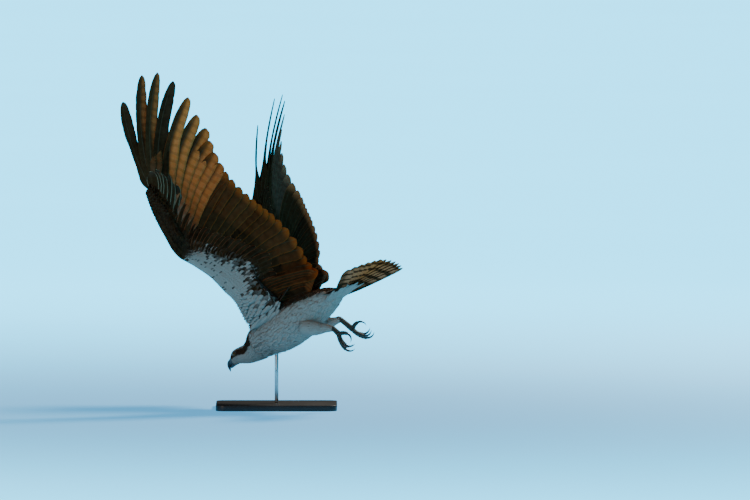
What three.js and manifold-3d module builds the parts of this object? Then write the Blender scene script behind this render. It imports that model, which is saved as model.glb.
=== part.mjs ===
// Osprey in flight, life size, wings raised, on a plain display stand.
// Millimetres, +Z up, origin at the centre of the underside of the stand's base.
// The bird is built in its own axes: x forward along the body, y to its left, z out of its back,
// measured from the point midway between the shoulders, and is then banked on the stand.

import * as THREE from "three";
import { mergeVertices } from "three/addons/utils/BufferGeometryUtils.js";
import Module from "manifold-3d";

const wasm = await Module();
wasm.setup();

const point = (x, y, z) => new THREE.Vector3(x, y, z);
const radians = THREE.MathUtils.degToRad;
const lerp = THREE.MathUtils.lerp;

// Driving dimensions
const GAP = 0.3; // left between pieces that touch
const LEFT = 1;
const RIGHT = -1;

// Flight attitude: course, dive and roll of the body, and the view's height above level
const COURSE = radians(152.6);
const DIVE = radians(26.2);
const ROLL = radians(5.05);
const VIEW_HEIGHT = radians(3);

// Stand
const BASE_LENGTH = 320;
const BASE_WIDTH = 240;
const BASE_THICK = 15;
const BASE_CORNER = 24;
const ROD_RADIUS = 5;
const SHOULDERS_OVER_BASE = point(-28, 13, 226); // midway between the shoulders, from the origin

// Trunk: station along the body, height of the middle, half height, half width
const TRUNK_FRONT = 52;
const TRUNK_BACK = -222;
const TRUNK = [
  [TRUNK_FRONT, -43, 39, 40],
  [20, -38, 48, 54],
  [-30, -38, 57, 60],
  [-80, -34, 60, 58],
  [-130, -30, 54, 50],
  [-170, -28, 42, 41],
  [-205, -27, 31, 31],
  [TRUNK_BACK, -27, 23, 25],
];
const NECK_FRONT = 80;
const NECK = [
  [TRUNK_FRONT, -43, 39, 40],
  [66, -48, 32, 31],
  [NECK_FRONT, -51, 26.5, 26],
];
const HEAD_FRONT = 129;
const HEAD = [
  [NECK_FRONT, -51, 26.5, 26],
  [90, -49.5, 25, 25.5],
  [100, -47, 23, 24.5],
  [110, -44.5, 20.5, 22.5],
  [118, -43.5, 18.5, 19],
  [125, -45.5, 16.5, 15],
  [HEAD_FRONT, -47, 14, 12.3],
];
const EYE_RADIUS = 7.2;
const EYE = point(110, 16.2, -39.5);
const LID_THICK = 1.3;
const EAR = point(92, 37, -47);
const EAR_RADIUS = 13;

// Bill: points of the ridge, points of the cutting edge, half widths
const BILL_BACK = HEAD_FRONT + GAP;
const BILL_UPPER = [
  [[BILL_BACK, -32.2], [BILL_BACK, -55.2], 11.5],
  [[133, -37.2], [132.5, -55.8], 10.4],
  [[138.5, -40], [137, -57.2], 9],
  [[144.5, -42.8], [141, -58.8], 7.4],
  [[149.2, -47.8], [143.8, -60.8], 5.8],
  [[151.4, -54.5], [145.3, -63.2], 4.2],
  [[151, -62.5], [146.3, -66.6], 2.5],
  [[149.3, -70.6], [148.3, -71.2], 0.5],
];
const BILL_LOWER = [
  [[BILL_BACK, -56.2], [BILL_BACK, -61.2], 9.5],
  [[134, -57.4], [134, -62.4], 8],
  [[139, -59.2], [139, -63.6], 5.6],
  [[142.4, -61.8], [142.6, -63.6], 2],
];
const NOSTRIL = point(134.5, 9.4, -45.5);

// Roots and tips of the left wing's flight feathers, which are numbered outward from the innermost tertial
const SECONDARIES = 15;
const PRIMARIES = 10;
const OUTERMOST = SECONDARIES + PRIMARIES - 1;
const ROOT_LINE = [
  [0, -38, 88, 70],
  [3, -56, 121, 117],
  [8, -17, 186, 160],
  [14, 20, 247, 202],
  [15, 23, 257, 220],
  [20, 29, 273, 312],
  [24, 32, 286, 390],
];
const TIP_LINE = [
  [0, -211, 26, 47],
  [1.6, -196, 28, 84],
  [3.2, -202, 48, 119],
  [5, -198, 76, 173],
  [6.8, -187, 101, 217],
  [8.4, -177, 121, 243],
  [10, -167, 138, 270],
  [11.5, -157, 158, 300],
  [12.8, -147, 172, 332],
  [14, -137, 176, 364],
  [15, -131, 179, 393],
  [16, -129, 185, 424],
  [17, -132, 192, 457],
  [18, -139, 201, 490],
  [19, -141, 226, 526],
  [20, -150, 256, 570],
  [21, -146, 296, 616],
  [22, -130, 331, 646],
  [23, -94, 351, 654],
  [24, -16, 356, 613],
];
const VANE_THICK = 0.6;
const VANE_TWIST = radians(5);
const FIRST_FINGER = SECONDARIES + 5;
const FINGER_EDGE = point(0.57, 0.77, 0.28); // where the leading edges of the loose outer fingers point
const SHAFT_ARCH = 0.03; // rise of a shaft's middle, as a share of its length
const SHAFT_SWEEP = 0.062; // forward bow of a shaft's middle, as a share of its length

// Rows of smaller feathers over the roots of the flight feathers: how many, where a feather starts and ends
// as shares of the flight feather under it, how far it lies above (or below) the sheet, and its width
const COVERT_ROWS = [
  { count: 13, start: 0.0, end: 0.43, lift: 3.4, rise: 0.8, width: 29 },
  { count: 9, start: -0.06, end: 0.23, lift: 6.4, rise: 0.8, width: 34 },
  { count: 12, start: 0.0, end: 0.4, lift: -4, rise: -0.8, width: 29 },
];

// Tail
const TAIL_FEATHERS = 12;
const TAIL_LENGTH = 194;
const TAIL_ROOT = point(-226, 0, -27);
const TAIL_TURN = radians(15.5);
const TAIL_SPREAD = radians(31.5);
const TAIL_STEP = 1.8; // each pair of tail feathers lies this far under the one inside it
const TAIL_RISE = 4; // the feathers' tips bend up by this much
const TAIL_COVERTS = 6;

// Legs, left then right: where the toes start to reach, where they close to, and the hind toe's angle to them
const LEGS = [
  {
    side: "left",
    knee: point(-112, 36, -72),
    ankle: point(-187, 33, -111),
    toes: point(-212, 50, -141),
    reach: point(0.34, -0.14, -0.93),
    palm: point(-0.84, -0.3, -0.24),
    hind: 108,
  },
  {
    side: "right",
    knee: point(-108, -36, -66),
    ankle: point(-184, -33, -79),
    toes: point(-213, -36, -120),
    reach: point(-0.11, -0.56, -0.85),
    palm: point(-0.89, -0.32, 0.33),
    hind: 125,
  },
];
const KNEE_RADIUS = 22;
const ANKLE_RADIUS = 8.5;
const SHANK_RADIUS = 6.2;

// Materials
const material = (color, roughness, metalness = 0) =>
  new THREE.MeshStandardMaterial({ color, roughness, metalness });
const white = material(0xe9e4da, 0.85);
const brown = material(0x4a3526, 0.8);
const barred = material(0x9a6b3f, 0.75);
const horn = material(0x17161a, 0.35);
const skin = material(0xa9b3a2, 0.6);
const amber = material(0xd9a514, 0.1);
const ebony = material(0x1b1a19, 0.5);
const steel = material(0x9a9da0, 0.35, 1);

// Closed geometry from points and triangles, with its faces turned outward
function closed(points, triangles) {
  let volume = 0;
  for (const [a, b, c] of triangles)
    volume += points[a].dot(points[b].clone().cross(points[c]));
  const faces = volume < 0 ? triangles.map(([a, b, c]) => [a, c, b]) : triangles;
  const geometry = new THREE.BufferGeometry();
  geometry.setAttribute("position", new THREE.Float32BufferAttribute(points.flatMap((p) => p.toArray()), 3));
  geometry.setIndex(faces.flat());
  return geometry;
}

// Skin over a row of rings with the same number of points, closed by a fan at each end
function loft(rings) {
  const sides = rings[0].length;
  const points = rings.flat();
  const triangles = [];
  for (let i = 0; i + 1 < rings.length; i++)
    for (let j = 0; j < sides; j++) {
      const a = i * sides + j;
      const b = i * sides + ((j + 1) % sides);
      triangles.push([a, b, b + sides], [a, b + sides, a + sides]);
    }
  for (const [ring, start, turn] of [
    [rings[0], 0, 1],
    [rings.at(-1), (rings.length - 1) * sides, 0],
  ]) {
    const middle = points.push(ring.reduce((sum, p) => sum.add(p), point(0, 0, 0)).divideScalar(sides)) - 1;
    for (let j = 0; j < sides; j++) {
      const a = start + j;
      const b = start + ((j + 1) % sides);
      triangles.push(turn ? [b, a, middle] : [a, b, middle]);
    }
  }
  return closed(points, triangles);
}

// Smooth values between the rows of a table whose first column is the station
function between(table) {
  const values = table.flatMap((row) => row.slice(1));
  const curve = new THREE.CubicInterpolant(table.map((row) => row[0]), values, table[0].length - 1);
  return (at) => [...curve.evaluate(at)];
}

// Solids that can be joined and cut
function solid(geometry) {
  const bare = geometry.clone();
  bare.deleteAttribute("normal");
  bare.deleteAttribute("uv");
  const merged = mergeVertices(bare, 1e-4);
  return new wasm.Manifold(
    new wasm.Mesh({
      numProp: 3,
      vertProperties: merged.attributes.position.array,
      triVerts: new Uint32Array(merged.index.array),
    }),
  );
}

function joined(geometries) {
  return geometries.map(solid).reduce((whole, piece) => whole.add(piece));
}

// The largest closed surface of a solid, as geometry
function largest(shape) {
  const bodies = shape.decompose();
  const best = bodies.reduce((a, b) => (b.volume() > a.volume() ? b : a));
  const mesh = best.getMesh();
  const geometry = new THREE.BufferGeometry();
  geometry.setAttribute("position", new THREE.BufferAttribute(mesh.vertProperties, 3));
  geometry.setIndex(new THREE.BufferAttribute(mesh.triVerts, 1));
  return geometry;
}

// The mirror image of a piece on the bird's other side
function mirrored(geometry) {
  const other = geometry.clone().applyMatrix4(new THREE.Matrix4().makeScale(1, -1, 1));
  const index = other.index.array;
  for (let i = 0; i < index.length; i += 3) [index[i + 1], index[i + 2]] = [index[i + 2], index[i + 1]];
  return other;
}

// Rings across the body, from a table of stations, grown by swell
function bodyRings(table, front, back, steps, sides, swell = 0) {
  const at = between([...table].reverse());
  const rings = [];
  for (let i = 0; i <= steps; i++) {
    const x = lerp(back, front, i / steps);
    const [middle, high, wide] = at(THREE.MathUtils.clamp(x, table.at(-1)[0], table[0][0]));
    const ring = [];
    for (let j = 0; j < sides; j++) {
      const turn = (2 * Math.PI * j) / sides;
      ring.push(point(x, (wide + swell) * Math.cos(turn), middle + (high + swell) * Math.sin(turn)));
    }
    rings.push(ring);
  }
  return rings;
}

const BODY_SIDES = 20;
const trunkSolid = (swell) =>
  loft(bodyRings(TRUNK, TRUNK_FRONT + swell, TRUNK_BACK - swell, 14, BODY_SIDES, swell));

function torso() {
  return trunkSolid(0);
}

function neck() {
  const table = [[TRUNK_FRONT + GAP, ...NECK[0].slice(1)], ...NECK.slice(1)].reverse();
  return loft(bodyRings(table, NECK_FRONT - GAP, TRUNK_FRONT + GAP, 4, BODY_SIDES));
}

// An egg of given half sizes
function egg(centre, x, y, z, segments = 12) {
  return new THREE.SphereGeometry(1, segments, Math.round(segments / 2)).scale(x, y, z)
    .translate(centre.x, centre.y, centre.z);
}

function head() {
  const table = [...HEAD].reverse();
  const skull = loft(bodyRings(table, HEAD_FRONT, NECK_FRONT, 9, BODY_SIDES));
  let shape = solid(skull);
  for (const side of [LEFT, RIGHT]) {
    const eye = point(EYE.x, side * EYE.y, EYE.z);
    const brow = point(EYE.x + 1, side * (EYE.y + 3.2), EYE.z + 9);
    const lids = new THREE.TorusGeometry(EYE_RADIUS, LID_THICK, 5, 14)
      .rotateX(Math.PI / 2).translate(eye.x, side * (EYE.y + 4.2), eye.z);
    const ear = egg(point(EAR.x, side * EAR.y, EAR.z), EAR_RADIUS, EAR_RADIUS, EAR_RADIUS, 10);
    shape = shape.add(solid(egg(brow, 12, 3.4, 3, 12))).add(solid(lids)).subtract(solid(ear));
  }
  for (const side of [LEFT, RIGHT]) {
    const eye = point(EYE.x, side * EYE.y, EYE.z);
    const socket = EYE_RADIUS + GAP;
    const mouth = new THREE.BoxGeometry(30, 8, 0.8).translate(121, side * 20, -56);
    shape = shape.subtract(solid(egg(eye, socket, socket, socket, 14))).subtract(solid(mouth));
  }
  return largest(shape);
}

function eyeball(side) {
  return egg(point(EYE.x, side * EYE.y, EYE.z), EYE_RADIUS, EYE_RADIUS, EYE_RADIUS, 14);
}

// Half of the bill: rings between the ridge and the cutting edge
function billHalf(table, sides = 12) {
  return loft(
    table.map(([ridge, edge, wide]) => {
      const ring = [];
      for (let j = 0; j < sides; j++) {
        const turn = (2 * Math.PI * j) / sides;
        const share = (1 + Math.sin(turn)) / 2;
        ring.push(point(lerp(edge[0], ridge[0], share), wide * Math.cos(turn), lerp(edge[1], ridge[1], share)));
      }
      return ring;
    }),
  );
}

function billUpper() {
  let shape = solid(billHalf(BILL_UPPER));
  for (const side of [LEFT, RIGHT])
    shape = shape.subtract(solid(egg(point(NOSTRIL.x, side * NOSTRIL.y, NOSTRIL.z), 1.8, 1.8, 1, 10)));
  return largest(shape);
}

// One feather: a thin flat vane that follows a shaft, widest along its middle
function vane(shaft, widths, thick) {
  const points = [];
  const triangles = [];
  widths.forEach(([along, leading, trailing]) => {
    const { place, edge, face } = shaft(along);
    const half = face.clone().multiplyScalar(thick / 2);
    const front = place.clone().addScaledVector(edge, leading);
    const rear = place.clone().addScaledVector(edge, -trailing);
    points.push(front.clone().add(half), rear.clone().add(half), rear.clone().sub(half), front.clone().sub(half));
  });
  for (let i = 0; i + 1 < widths.length; i++) {
    const a = 4 * i;
    const b = a + 4;
    triangles.push([a, a + 1, b + 1], [a, b + 1, b]);
    triangles.push([a + 3, b + 2, a + 2], [a + 3, b + 3, b + 2]);
    triangles.push([a + 1, a + 2, b + 2], [a + 1, b + 2, b + 1]);
    triangles.push([a + 3, a, b], [a + 3, b, b + 3]);
  }
  const last = 4 * (widths.length - 1);
  triangles.push([0, 2, 1], [0, 3, 2]);
  triangles.push([last, last + 1, last + 2], [last, last + 2, last + 3]);
  return closed(points, triangles);
}

// The sheet in which the left wing's flight feathers lie: root and tip of any feather along the span
const rootAt = between(ROOT_LINE);
const tipAt = between(TIP_LINE);
const wingRoot = (number) => point(...rootAt(number));
const wingTip = (number) => point(...tipAt(number));

// Place, leading edge and upper face of the wing's sheet, along one feather and lifted off the sheet
function wingShaft(number, lift = () => 0) {
  const loose = THREE.MathUtils.clamp((number - FIRST_FINGER + 1) / 3, 0, 1);
  const before = Math.max(number - 0.5, 0);
  const after = Math.min(number + 0.5, OUTERMOST);
  const root = wingRoot(number);
  const tip = wingTip(number);
  const length = root.distanceTo(tip);
  const along = tip.clone().sub(root).normalize();
  const acrossRoot = wingRoot(after).sub(wingRoot(before));
  const acrossTip = wingTip(after).sub(wingTip(before));
  const frame = (share) => {
    const edge = acrossRoot.clone().lerp(acrossTip, THREE.MathUtils.clamp(share, 0, 1));
    edge.addScaledVector(along, -edge.dot(along)).normalize();
    return { edge, face: edge.clone().cross(along).normalize() };
  };
  const middle = frame(0.5);
  const freeEdge = FINGER_EDGE.clone().addScaledVector(along, -FINGER_EDGE.dot(along)).normalize();
  const forward = middle.edge.clone().lerp(freeEdge, loose).normalize();
  return (share) => {
    const { edge, face } = frame(share);
    const bow = 4 * share * (1 - share);
    const place = root.clone().lerp(tip, share)
      .addScaledVector(middle.face, SHAFT_ARCH * length * bow)
      .addScaledVector(forward, SHAFT_SWEEP * length * bow)
      .addScaledVector(face, lift(share));
    edge.applyAxisAngle(along, -VANE_TWIST);
    edge.lerp(freeEdge, loose * THREE.MathUtils.smoothstep(share, 0.18, 0.5)).normalize();
    face.crossVectors(edge, along).normalize();
    return { place, edge, face };
  };
}

// Flesh of the left wing: rings from the trunk to the end of the hand
function wingFlesh() {
  const rear = (number, past) => {
    const root = wingRoot(number);
    const tip = wingTip(number);
    return root.clone().addScaledVector(tip.sub(root).normalize(), past);
  };
  const stations = [
    [point(14, 20, -14), point(-88, 20, -6), 15],
    [point(22, 64, 0), point(-88, 52, 24), 17],
    [point(13, 104, 54), rear(0.6, 24), 15],
    [point(15, 139, 89), rear(3, 20), 13],
    [point(18, 174, 126), rear(6, 16), 11.5],
    [point(30, 219, 163), rear(10, 16), 10],
    [point(45, 268, 204), rear(14.3, 16), 9],
    [point(49, 281, 256), rear(17, 15), 8.5],
    [point(53, 289, 320), rear(20, 14), 7.5],
    [point(50, 293, 375), rear(22.8, 13), 6.5],
    [point(46, 296, 402), rear(24, 13), 4.5],
  ];
  const profile = [[0, 0], [0.07, 0.62], [0.3, 1], [0.62, 0.8], [1, 0.42]];
  return loft(
    stations.map(([front, back, thick], i) => {
      const inner = stations[Math.max(i - 1, 0)];
      const outer = stations[Math.min(i + 1, stations.length - 1)];
      const chord = back.clone().sub(front);
      const span = outer[0].clone().add(outer[1]).sub(inner[0]).sub(inner[1]);
      const up = span.cross(chord).normalize();
      const spot = ([share, high], side) =>
        front.clone().addScaledVector(chord, share).addScaledVector(up, side * high * thick);
      const top = profile.map((p) => spot(p, 1));
      const under = profile.slice(1).reverse().map((p) => spot(p, -1));
      return [...top, ...under];
    }),
  );
}

// Outlines of the feathers as [share of length, leading width, trailing width]
const fingered = (lead, trail, tip) => [
  [0, 2, 2],
  [0.16, 3, 4],
  [0.3, lead, trail],
  [0.5, lead, trail],
  [0.66, lerp(lead, 12.5, tip), lerp(trail, 20, tip)],
  [0.86, lerp(lead, 11.5, tip), lerp(trail * 0.85, 16, tip)],
  [0.95, 6, lerp(trail * 0.55, 9, tip)],
  [1, 0.8, 1.2],
];
const short = (lead, trail) => [
  [0, 2.5, 2.5],
  [0.55, lead, trail],
  [0.88, lead * 0.8, trail * 0.8],
  [1, 2, 3],
];
const rounded = (lead, trail) => [
  [0, 2, 2],
  [0.2, 4, 5],
  [0.4, lead, trail],
  [0.84, lead, trail],
  [0.96, lead * 0.62, trail * 0.6],
  [1, 1.5, 3],
];

// A smaller feather that lies over the flight feathers at one place along the span
function covert({ number, start, end, lift, rise, width }) {
  const sheet = wingShaft(number, (share) => lift + (rise * (share - start)) / (end - start));
  const shaft = (share) => sheet(lerp(start, end, share));
  return vane(shaft, short(width * 0.36, width * 0.64), VANE_THICK);
}

function leftWing() {
  const pieces = [wingFlesh()];
  for (let number = 0; number <= OUTERMOST; number++) {
    const place = number - SECONDARIES + 1;
    const tip = THREE.MathUtils.clamp((place - 4) / 4, 0, 1);
    const outline = place < 1 ? rounded(13, 28) : fingered(place > 9 ? 9 : 13, place > 9 ? 17 : 30, tip);
    pieces.push(vane(wingShaft(number), outline, VANE_THICK));
  }
  for (const row of COVERT_ROWS)
    for (let i = 0; i < row.count; i++)
      pieces.push(covert({ ...row, number: (OUTERMOST * (i + 0.3)) / (row.count - 0.4) }));
  return largest(joined(pieces).subtract(solid(trunkSolid(GAP))));
}

// The tail: its fleshy root and a fan of feathers, the middle pair on top
function tail() {
  const rows = [
    [TRUNK_BACK - GAP, -27, 23, 25],
    [TRUNK_BACK - 14, -27, 15, 22],
    [TRUNK_BACK - 26, -27, 8, 18],
  ];
  const pieces = [loft(bodyRings(rows, TRUNK_BACK - GAP, TRUNK_BACK - 26, 4, 16))];
  for (let i = 0; i < TAIL_FEATHERS; i++) {
    const place = i - (TAIL_FEATHERS - 1) / 2;
    const share = place / ((TAIL_FEATHERS - 1) / 2);
    const turn = TAIL_TURN + TAIL_SPREAD * share;
    const length = TAIL_LENGTH * (1 - 0.06 * share * share);
    const along = point(-Math.cos(turn), Math.sin(turn), 0);
    const outer = point(-Math.sin(turn), -Math.cos(turn), 0).multiplyScalar(-Math.sign(share));
    const stack = -TAIL_STEP * Math.abs(place) + (share > 0 ? TAIL_STEP / 2 : 0);
    const root = TAIL_ROOT.clone().add(point(0, 14 * share, 4 + stack));
    const shaft = (at) => ({
      place: root.clone().addScaledVector(along, at * length).add(point(0, 0, TAIL_RISE * at ** 2)),
      edge: outer,
      face: point(0, 0, 1),
    });
    pieces.push(vane(shaft, rounded(13, 23), VANE_THICK));
  }
  for (const face of [1, -1])
    for (let i = 0; i < TAIL_COVERTS; i++) {
      const share = (2 * i) / (TAIL_COVERTS - 1) - 1;
      const turn = TAIL_TURN * 0.7 + TAIL_SPREAD * share * 0.7;
      const along = point(-Math.cos(turn), Math.sin(turn), 0);
      const rise = face * (9.5 - Math.abs(share) * 2.5 + (share > 0 ? 0.9 : 0));
      const root = TAIL_ROOT.clone().add(point(0, 13 * share, rise));
      const shaft = (at) => ({
        place: root.clone().addScaledVector(along, at * 76).add(point(0, 0, -face * 2.5 * at)),
        edge: point(-Math.sin(turn), -Math.cos(turn), 0),
        face: point(0, 0, 1),
      });
      pieces.push(vane(shaft, short(12, 12), VANE_THICK));
    }
  return largest(joined(pieces));
}

// A round limb along a curve whose radius changes, closed at both ends
function limb(stops, radii, sides = 10, steps = 8, flat = 1) {
  const curve = new THREE.CatmullRomCurve3(stops);
  const frames = curve.computeFrenetFrames(steps, false);
  const rings = [];
  for (let i = 0; i <= steps; i++) {
    const share = i / steps;
    const slot = share * (radii.length - 1);
    const low = Math.min(Math.floor(slot), radii.length - 2);
    const radius = lerp(radii[low], radii[low + 1], slot - low);
    const place = curve.getPointAt(share);
    const ring = [];
    for (let j = 0; j < sides; j++) {
      const turn = (2 * Math.PI * j) / sides;
      ring.push(
        place.clone()
          .addScaledVector(frames.normals[i], radius * Math.cos(turn))
          .addScaledVector(frames.binormals[i], flat * radius * Math.sin(turn)),
      );
    }
    rings.push(ring);
  }
  return loft(rings);
}

function thigh(leg) {
  const down = leg.ankle.clone().sub(leg.knee).normalize();
  const middle = leg.knee.clone().lerp(leg.ankle, 0.5).add(point(0, 0, -3));
  const end = leg.ankle.clone().addScaledVector(down, -6);
  const shape = solid(limb([leg.knee, middle, end, leg.ankle], [KNEE_RADIUS, 22, 15, ANKLE_RADIUS], 14, 7));
  return largest(shape.subtract(solid(trunkSolid(GAP))));
}

// Toes of a foot: splay about the foot's axis, length, and how they curl toward the palm
const TOES = [
  { name: "inner", splay: -24, length: 36, curl: 46, claw: 27 },
  { name: "middle", splay: 2, length: 43, curl: 40, claw: 28 },
  { name: "outer", splay: 27, length: 37, curl: 44, claw: 26 },
  { name: "hind", splay: 0, length: 22, curl: -50, claw: 27 },
];
const TOE_RADIUS = 5.2;
const CLAW_RADIUS = 3.2;
const CLAW_CURL = 96;

// The bent line of a toe and of its claw
function toeLine(leg, toe) {
  const reach = leg.reach.clone().normalize();
  const palm = leg.palm.clone().addScaledVector(reach, -leg.palm.dot(reach)).normalize();
  const across = reach.clone().cross(palm);
  const splay = radians(toe.splay);
  const start = toe.name === "hind" ? leg.hind : 0;
  const heading = (bend) => {
    const angle = radians(bend);
    const flat = reach.clone().multiplyScalar(Math.cos(splay)).addScaledVector(across, Math.sin(splay));
    return flat.multiplyScalar(Math.cos(angle)).addScaledVector(palm, Math.sin(angle));
  };
  const line = [leg.toes.clone()];
  const steps = 6;
  for (let i = 0; i < steps; i++)
    line.push(line.at(-1).clone().addScaledVector(heading(start + (toe.curl * i) / steps), toe.length / steps));
  const sign = Math.sign(toe.curl);
  const last = heading(start + toe.curl);
  line.push(line.at(-1).clone().addScaledVector(last, 1));
  const claw = [line.at(-1).clone().addScaledVector(last, GAP)];
  claw.push(claw[0].clone().addScaledVector(last, 1));
  for (let i = 0; i < steps; i++)
    claw.push(
      claw.at(-1).clone()
        .addScaledVector(heading(start + toe.curl + sign * CLAW_CURL * (i + 0.5) / steps), toe.claw / steps),
    );
  return { line, claw };
}

function foot(leg) {
  const down = leg.ankle.clone().sub(leg.knee).normalize();
  const top = leg.ankle.clone().addScaledVector(down, GAP);
  const bend = top.clone().addScaledVector(down, 7);
  const shank = limb([top, bend, leg.toes], [SHANK_RADIUS + 1, SHANK_RADIUS, SHANK_RADIUS - 0.6, 7], 10, 7);
  const pieces = [shank];
  for (const toe of TOES) pieces.push(limb(toeLine(leg, toe).line, [TOE_RADIUS + 1.2, TOE_RADIUS, 4.2, 3.4], 8, 5));
  return largest(joined(pieces));
}

function claw(leg, toe) {
  return limb(toeLine(leg, toe).claw, [CLAW_RADIUS, 2.7, 1.9, 1.1, 0.25], 6, 7);
}

// Stand: a flat base with round corners, and one upright rod
function standBase() {
  const x = BASE_LENGTH / 2;
  const y = BASE_WIDTH / 2;
  const r = BASE_CORNER;
  const outline = new THREE.Shape();
  outline.absarc(x - r, y - r, r, 0, Math.PI / 2);
  outline.absarc(-x + r, y - r, r, Math.PI / 2, Math.PI);
  outline.absarc(-x + r, -y + r, r, Math.PI, 1.5 * Math.PI);
  outline.absarc(x - r, -y + r, r, 1.5 * Math.PI, 2 * Math.PI);
  return new THREE.ExtrudeGeometry(outline, { depth: BASE_THICK, bevelEnabled: false, curveSegments: 8 });
}

function standRod(pose) {
  const bottom = BASE_THICK + GAP;
  const top = SHOULDERS_OVER_BASE.z;
  const rod = new THREE.CylinderGeometry(ROD_RADIUS, ROD_RADIUS, top - bottom, 20)
    .rotateX(Math.PI / 2).translate(0, 0, (top + bottom) / 2);
  const trunk = trunkSolid(GAP).applyMatrix4(pose);
  return largest(solid(rod).subtract(solid(trunk)));
}

// The bird's place on the stand
const osprey = new THREE.Group();
const bird = new THREE.Group();
const tilt = new THREE.Matrix4().makeRotationX(-VIEW_HEIGHT);
const attitude = new THREE.Matrix4().makeRotationFromEuler(new THREE.Euler(ROLL, DIVE, COURSE, "ZYX"));
tilt.multiply(attitude).decompose(bird.position, bird.quaternion, bird.scale);
bird.position.copy(SHOULDERS_OVER_BASE);
bird.updateMatrix();

function piece(parent, name, geometry, finish) {
  const mesh = new THREE.Mesh(geometry, finish);
  mesh.name = name;
  parent.add(mesh);
}

const wing = leftWing();
piece(bird, "torso", torso(), white);
piece(bird, "neck", neck(), white);
piece(bird, "head", head(), white);
piece(bird, "eye_left", eyeball(LEFT), amber);
piece(bird, "eye_right", eyeball(RIGHT), amber);
piece(bird, "bill_upper", billUpper(), horn);
piece(bird, "bill_lower", billHalf(BILL_LOWER), horn);
piece(bird, "wing_left", wing, brown);
piece(bird, "wing_right", mirrored(wing), brown);
piece(bird, "tail", tail(), barred);
for (const leg of LEGS) {
  piece(bird, "thigh_" + leg.side, thigh(leg), white);
  piece(bird, "foot_" + leg.side, foot(leg), skin);
  for (const toe of TOES) piece(bird, "claw_" + toe.name + "_" + leg.side, claw(leg, toe), horn);
}
piece(osprey, "stand_base", standBase(), ebony);
piece(osprey, "stand_rod", standRod(bird.matrix), steel);
osprey.add(bird);

export default osprey;
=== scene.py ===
"""Osprey in flight, life size, wings raised, on a plain display stand.

The bird is worked out in millimetres in its own axes, x forward along the body, y to its left, z out of
its back, measured from the point midway between the shoulders, and then banked on the stand in metres.
"""

import math

import bmesh
import bpy
import numpy as np
from mathutils import Matrix, Vector


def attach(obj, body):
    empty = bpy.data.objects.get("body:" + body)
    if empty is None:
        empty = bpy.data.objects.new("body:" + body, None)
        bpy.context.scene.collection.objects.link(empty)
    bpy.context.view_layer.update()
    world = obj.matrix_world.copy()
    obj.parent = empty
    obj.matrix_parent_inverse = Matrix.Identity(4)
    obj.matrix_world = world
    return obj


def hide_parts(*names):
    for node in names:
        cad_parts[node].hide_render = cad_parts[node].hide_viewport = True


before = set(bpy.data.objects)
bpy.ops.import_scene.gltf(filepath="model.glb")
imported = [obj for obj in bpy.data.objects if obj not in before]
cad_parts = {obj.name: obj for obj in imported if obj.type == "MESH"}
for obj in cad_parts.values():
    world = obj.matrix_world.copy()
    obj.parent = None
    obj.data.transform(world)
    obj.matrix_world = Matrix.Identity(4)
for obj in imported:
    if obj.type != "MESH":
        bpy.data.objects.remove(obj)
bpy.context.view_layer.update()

MM = 0.001
chance = np.random.default_rng(11)

# The bird's place on the stand
SHOULDERS = Vector((-28, 13, 226))
COURSE, DIVE, ROLL, VIEW_HEIGHT = (math.radians(a) for a in (152.6, 26.2, 5.05, 3.0))
POSE = (
    Matrix.Scale(MM, 4)
    @ Matrix.Translation(SHOULDERS)
    @ Matrix.Rotation(-VIEW_HEIGHT, 4, "X")
    @ Matrix.Rotation(COURSE, 4, "Z")
    @ Matrix.Rotation(DIVE, 4, "Y")
    @ Matrix.Rotation(ROLL, 4, "X")
)
POSE_ARRAY = np.array(POSE)

# Trunk, neck and head: station along the body, height of the middle, half height, half width
BODY = [
    (-248, -26, 6, 8),
    (-222, -27, 22, 24),
    (-205, -27, 31, 31),
    (-170, -28, 42, 41),
    (-130, -30, 54, 50),
    (-80, -34, 60, 58),
    (-30, -38, 57, 60),
    (20, -38, 48, 54),
    (52, -43, 39, 40),
    (66, -48, 32, 31),
    (80, -51, 26.5, 26),
    (90, -49.5, 25, 25.5),
    (100, -47, 23, 24.5),
    (110, -44.5, 20.5, 22.5),
    (118, -43.5, 18.5, 19),
    (125, -45.5, 16.5, 15),
    (131, -47, 13, 11.5),
]

# Left eye and bill: points of the ridge and of the cutting edge in side view, and half width
EYE = Vector((110, 16.2, -39.5))
EYE_RADIUS = 7.2
BILL_BACK = 129.3
BILL_UPPER = [
    ((BILL_BACK, -32.2), (BILL_BACK, -55.2), 11.5),
    ((133, -37.2), (132.5, -55.8), 10.4),
    ((138.5, -40), (137, -57.2), 9),
    ((144.5, -42.8), (141, -58.8), 7.4),
    ((149.2, -47.8), (143.8, -60.8), 5.8),
    ((151.4, -54.5), (145.3, -63.2), 4.2),
    ((151, -62.5), (146.3, -66.6), 2.5),
    ((149.3, -70.6), (148.3, -71.2), 0.5),
]
BILL_LOWER = [
    ((BILL_BACK, -56.2), (BILL_BACK, -61.2), 9.5),
    ((134, -57.4), (134, -62.4), 8),
    ((139, -59.2), (139, -63.6), 5.6),
    ((142.4, -61.8), (142.6, -63.6), 2),
]
NOSTRIL = Vector((134.5, 9.4, -45.5))

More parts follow.
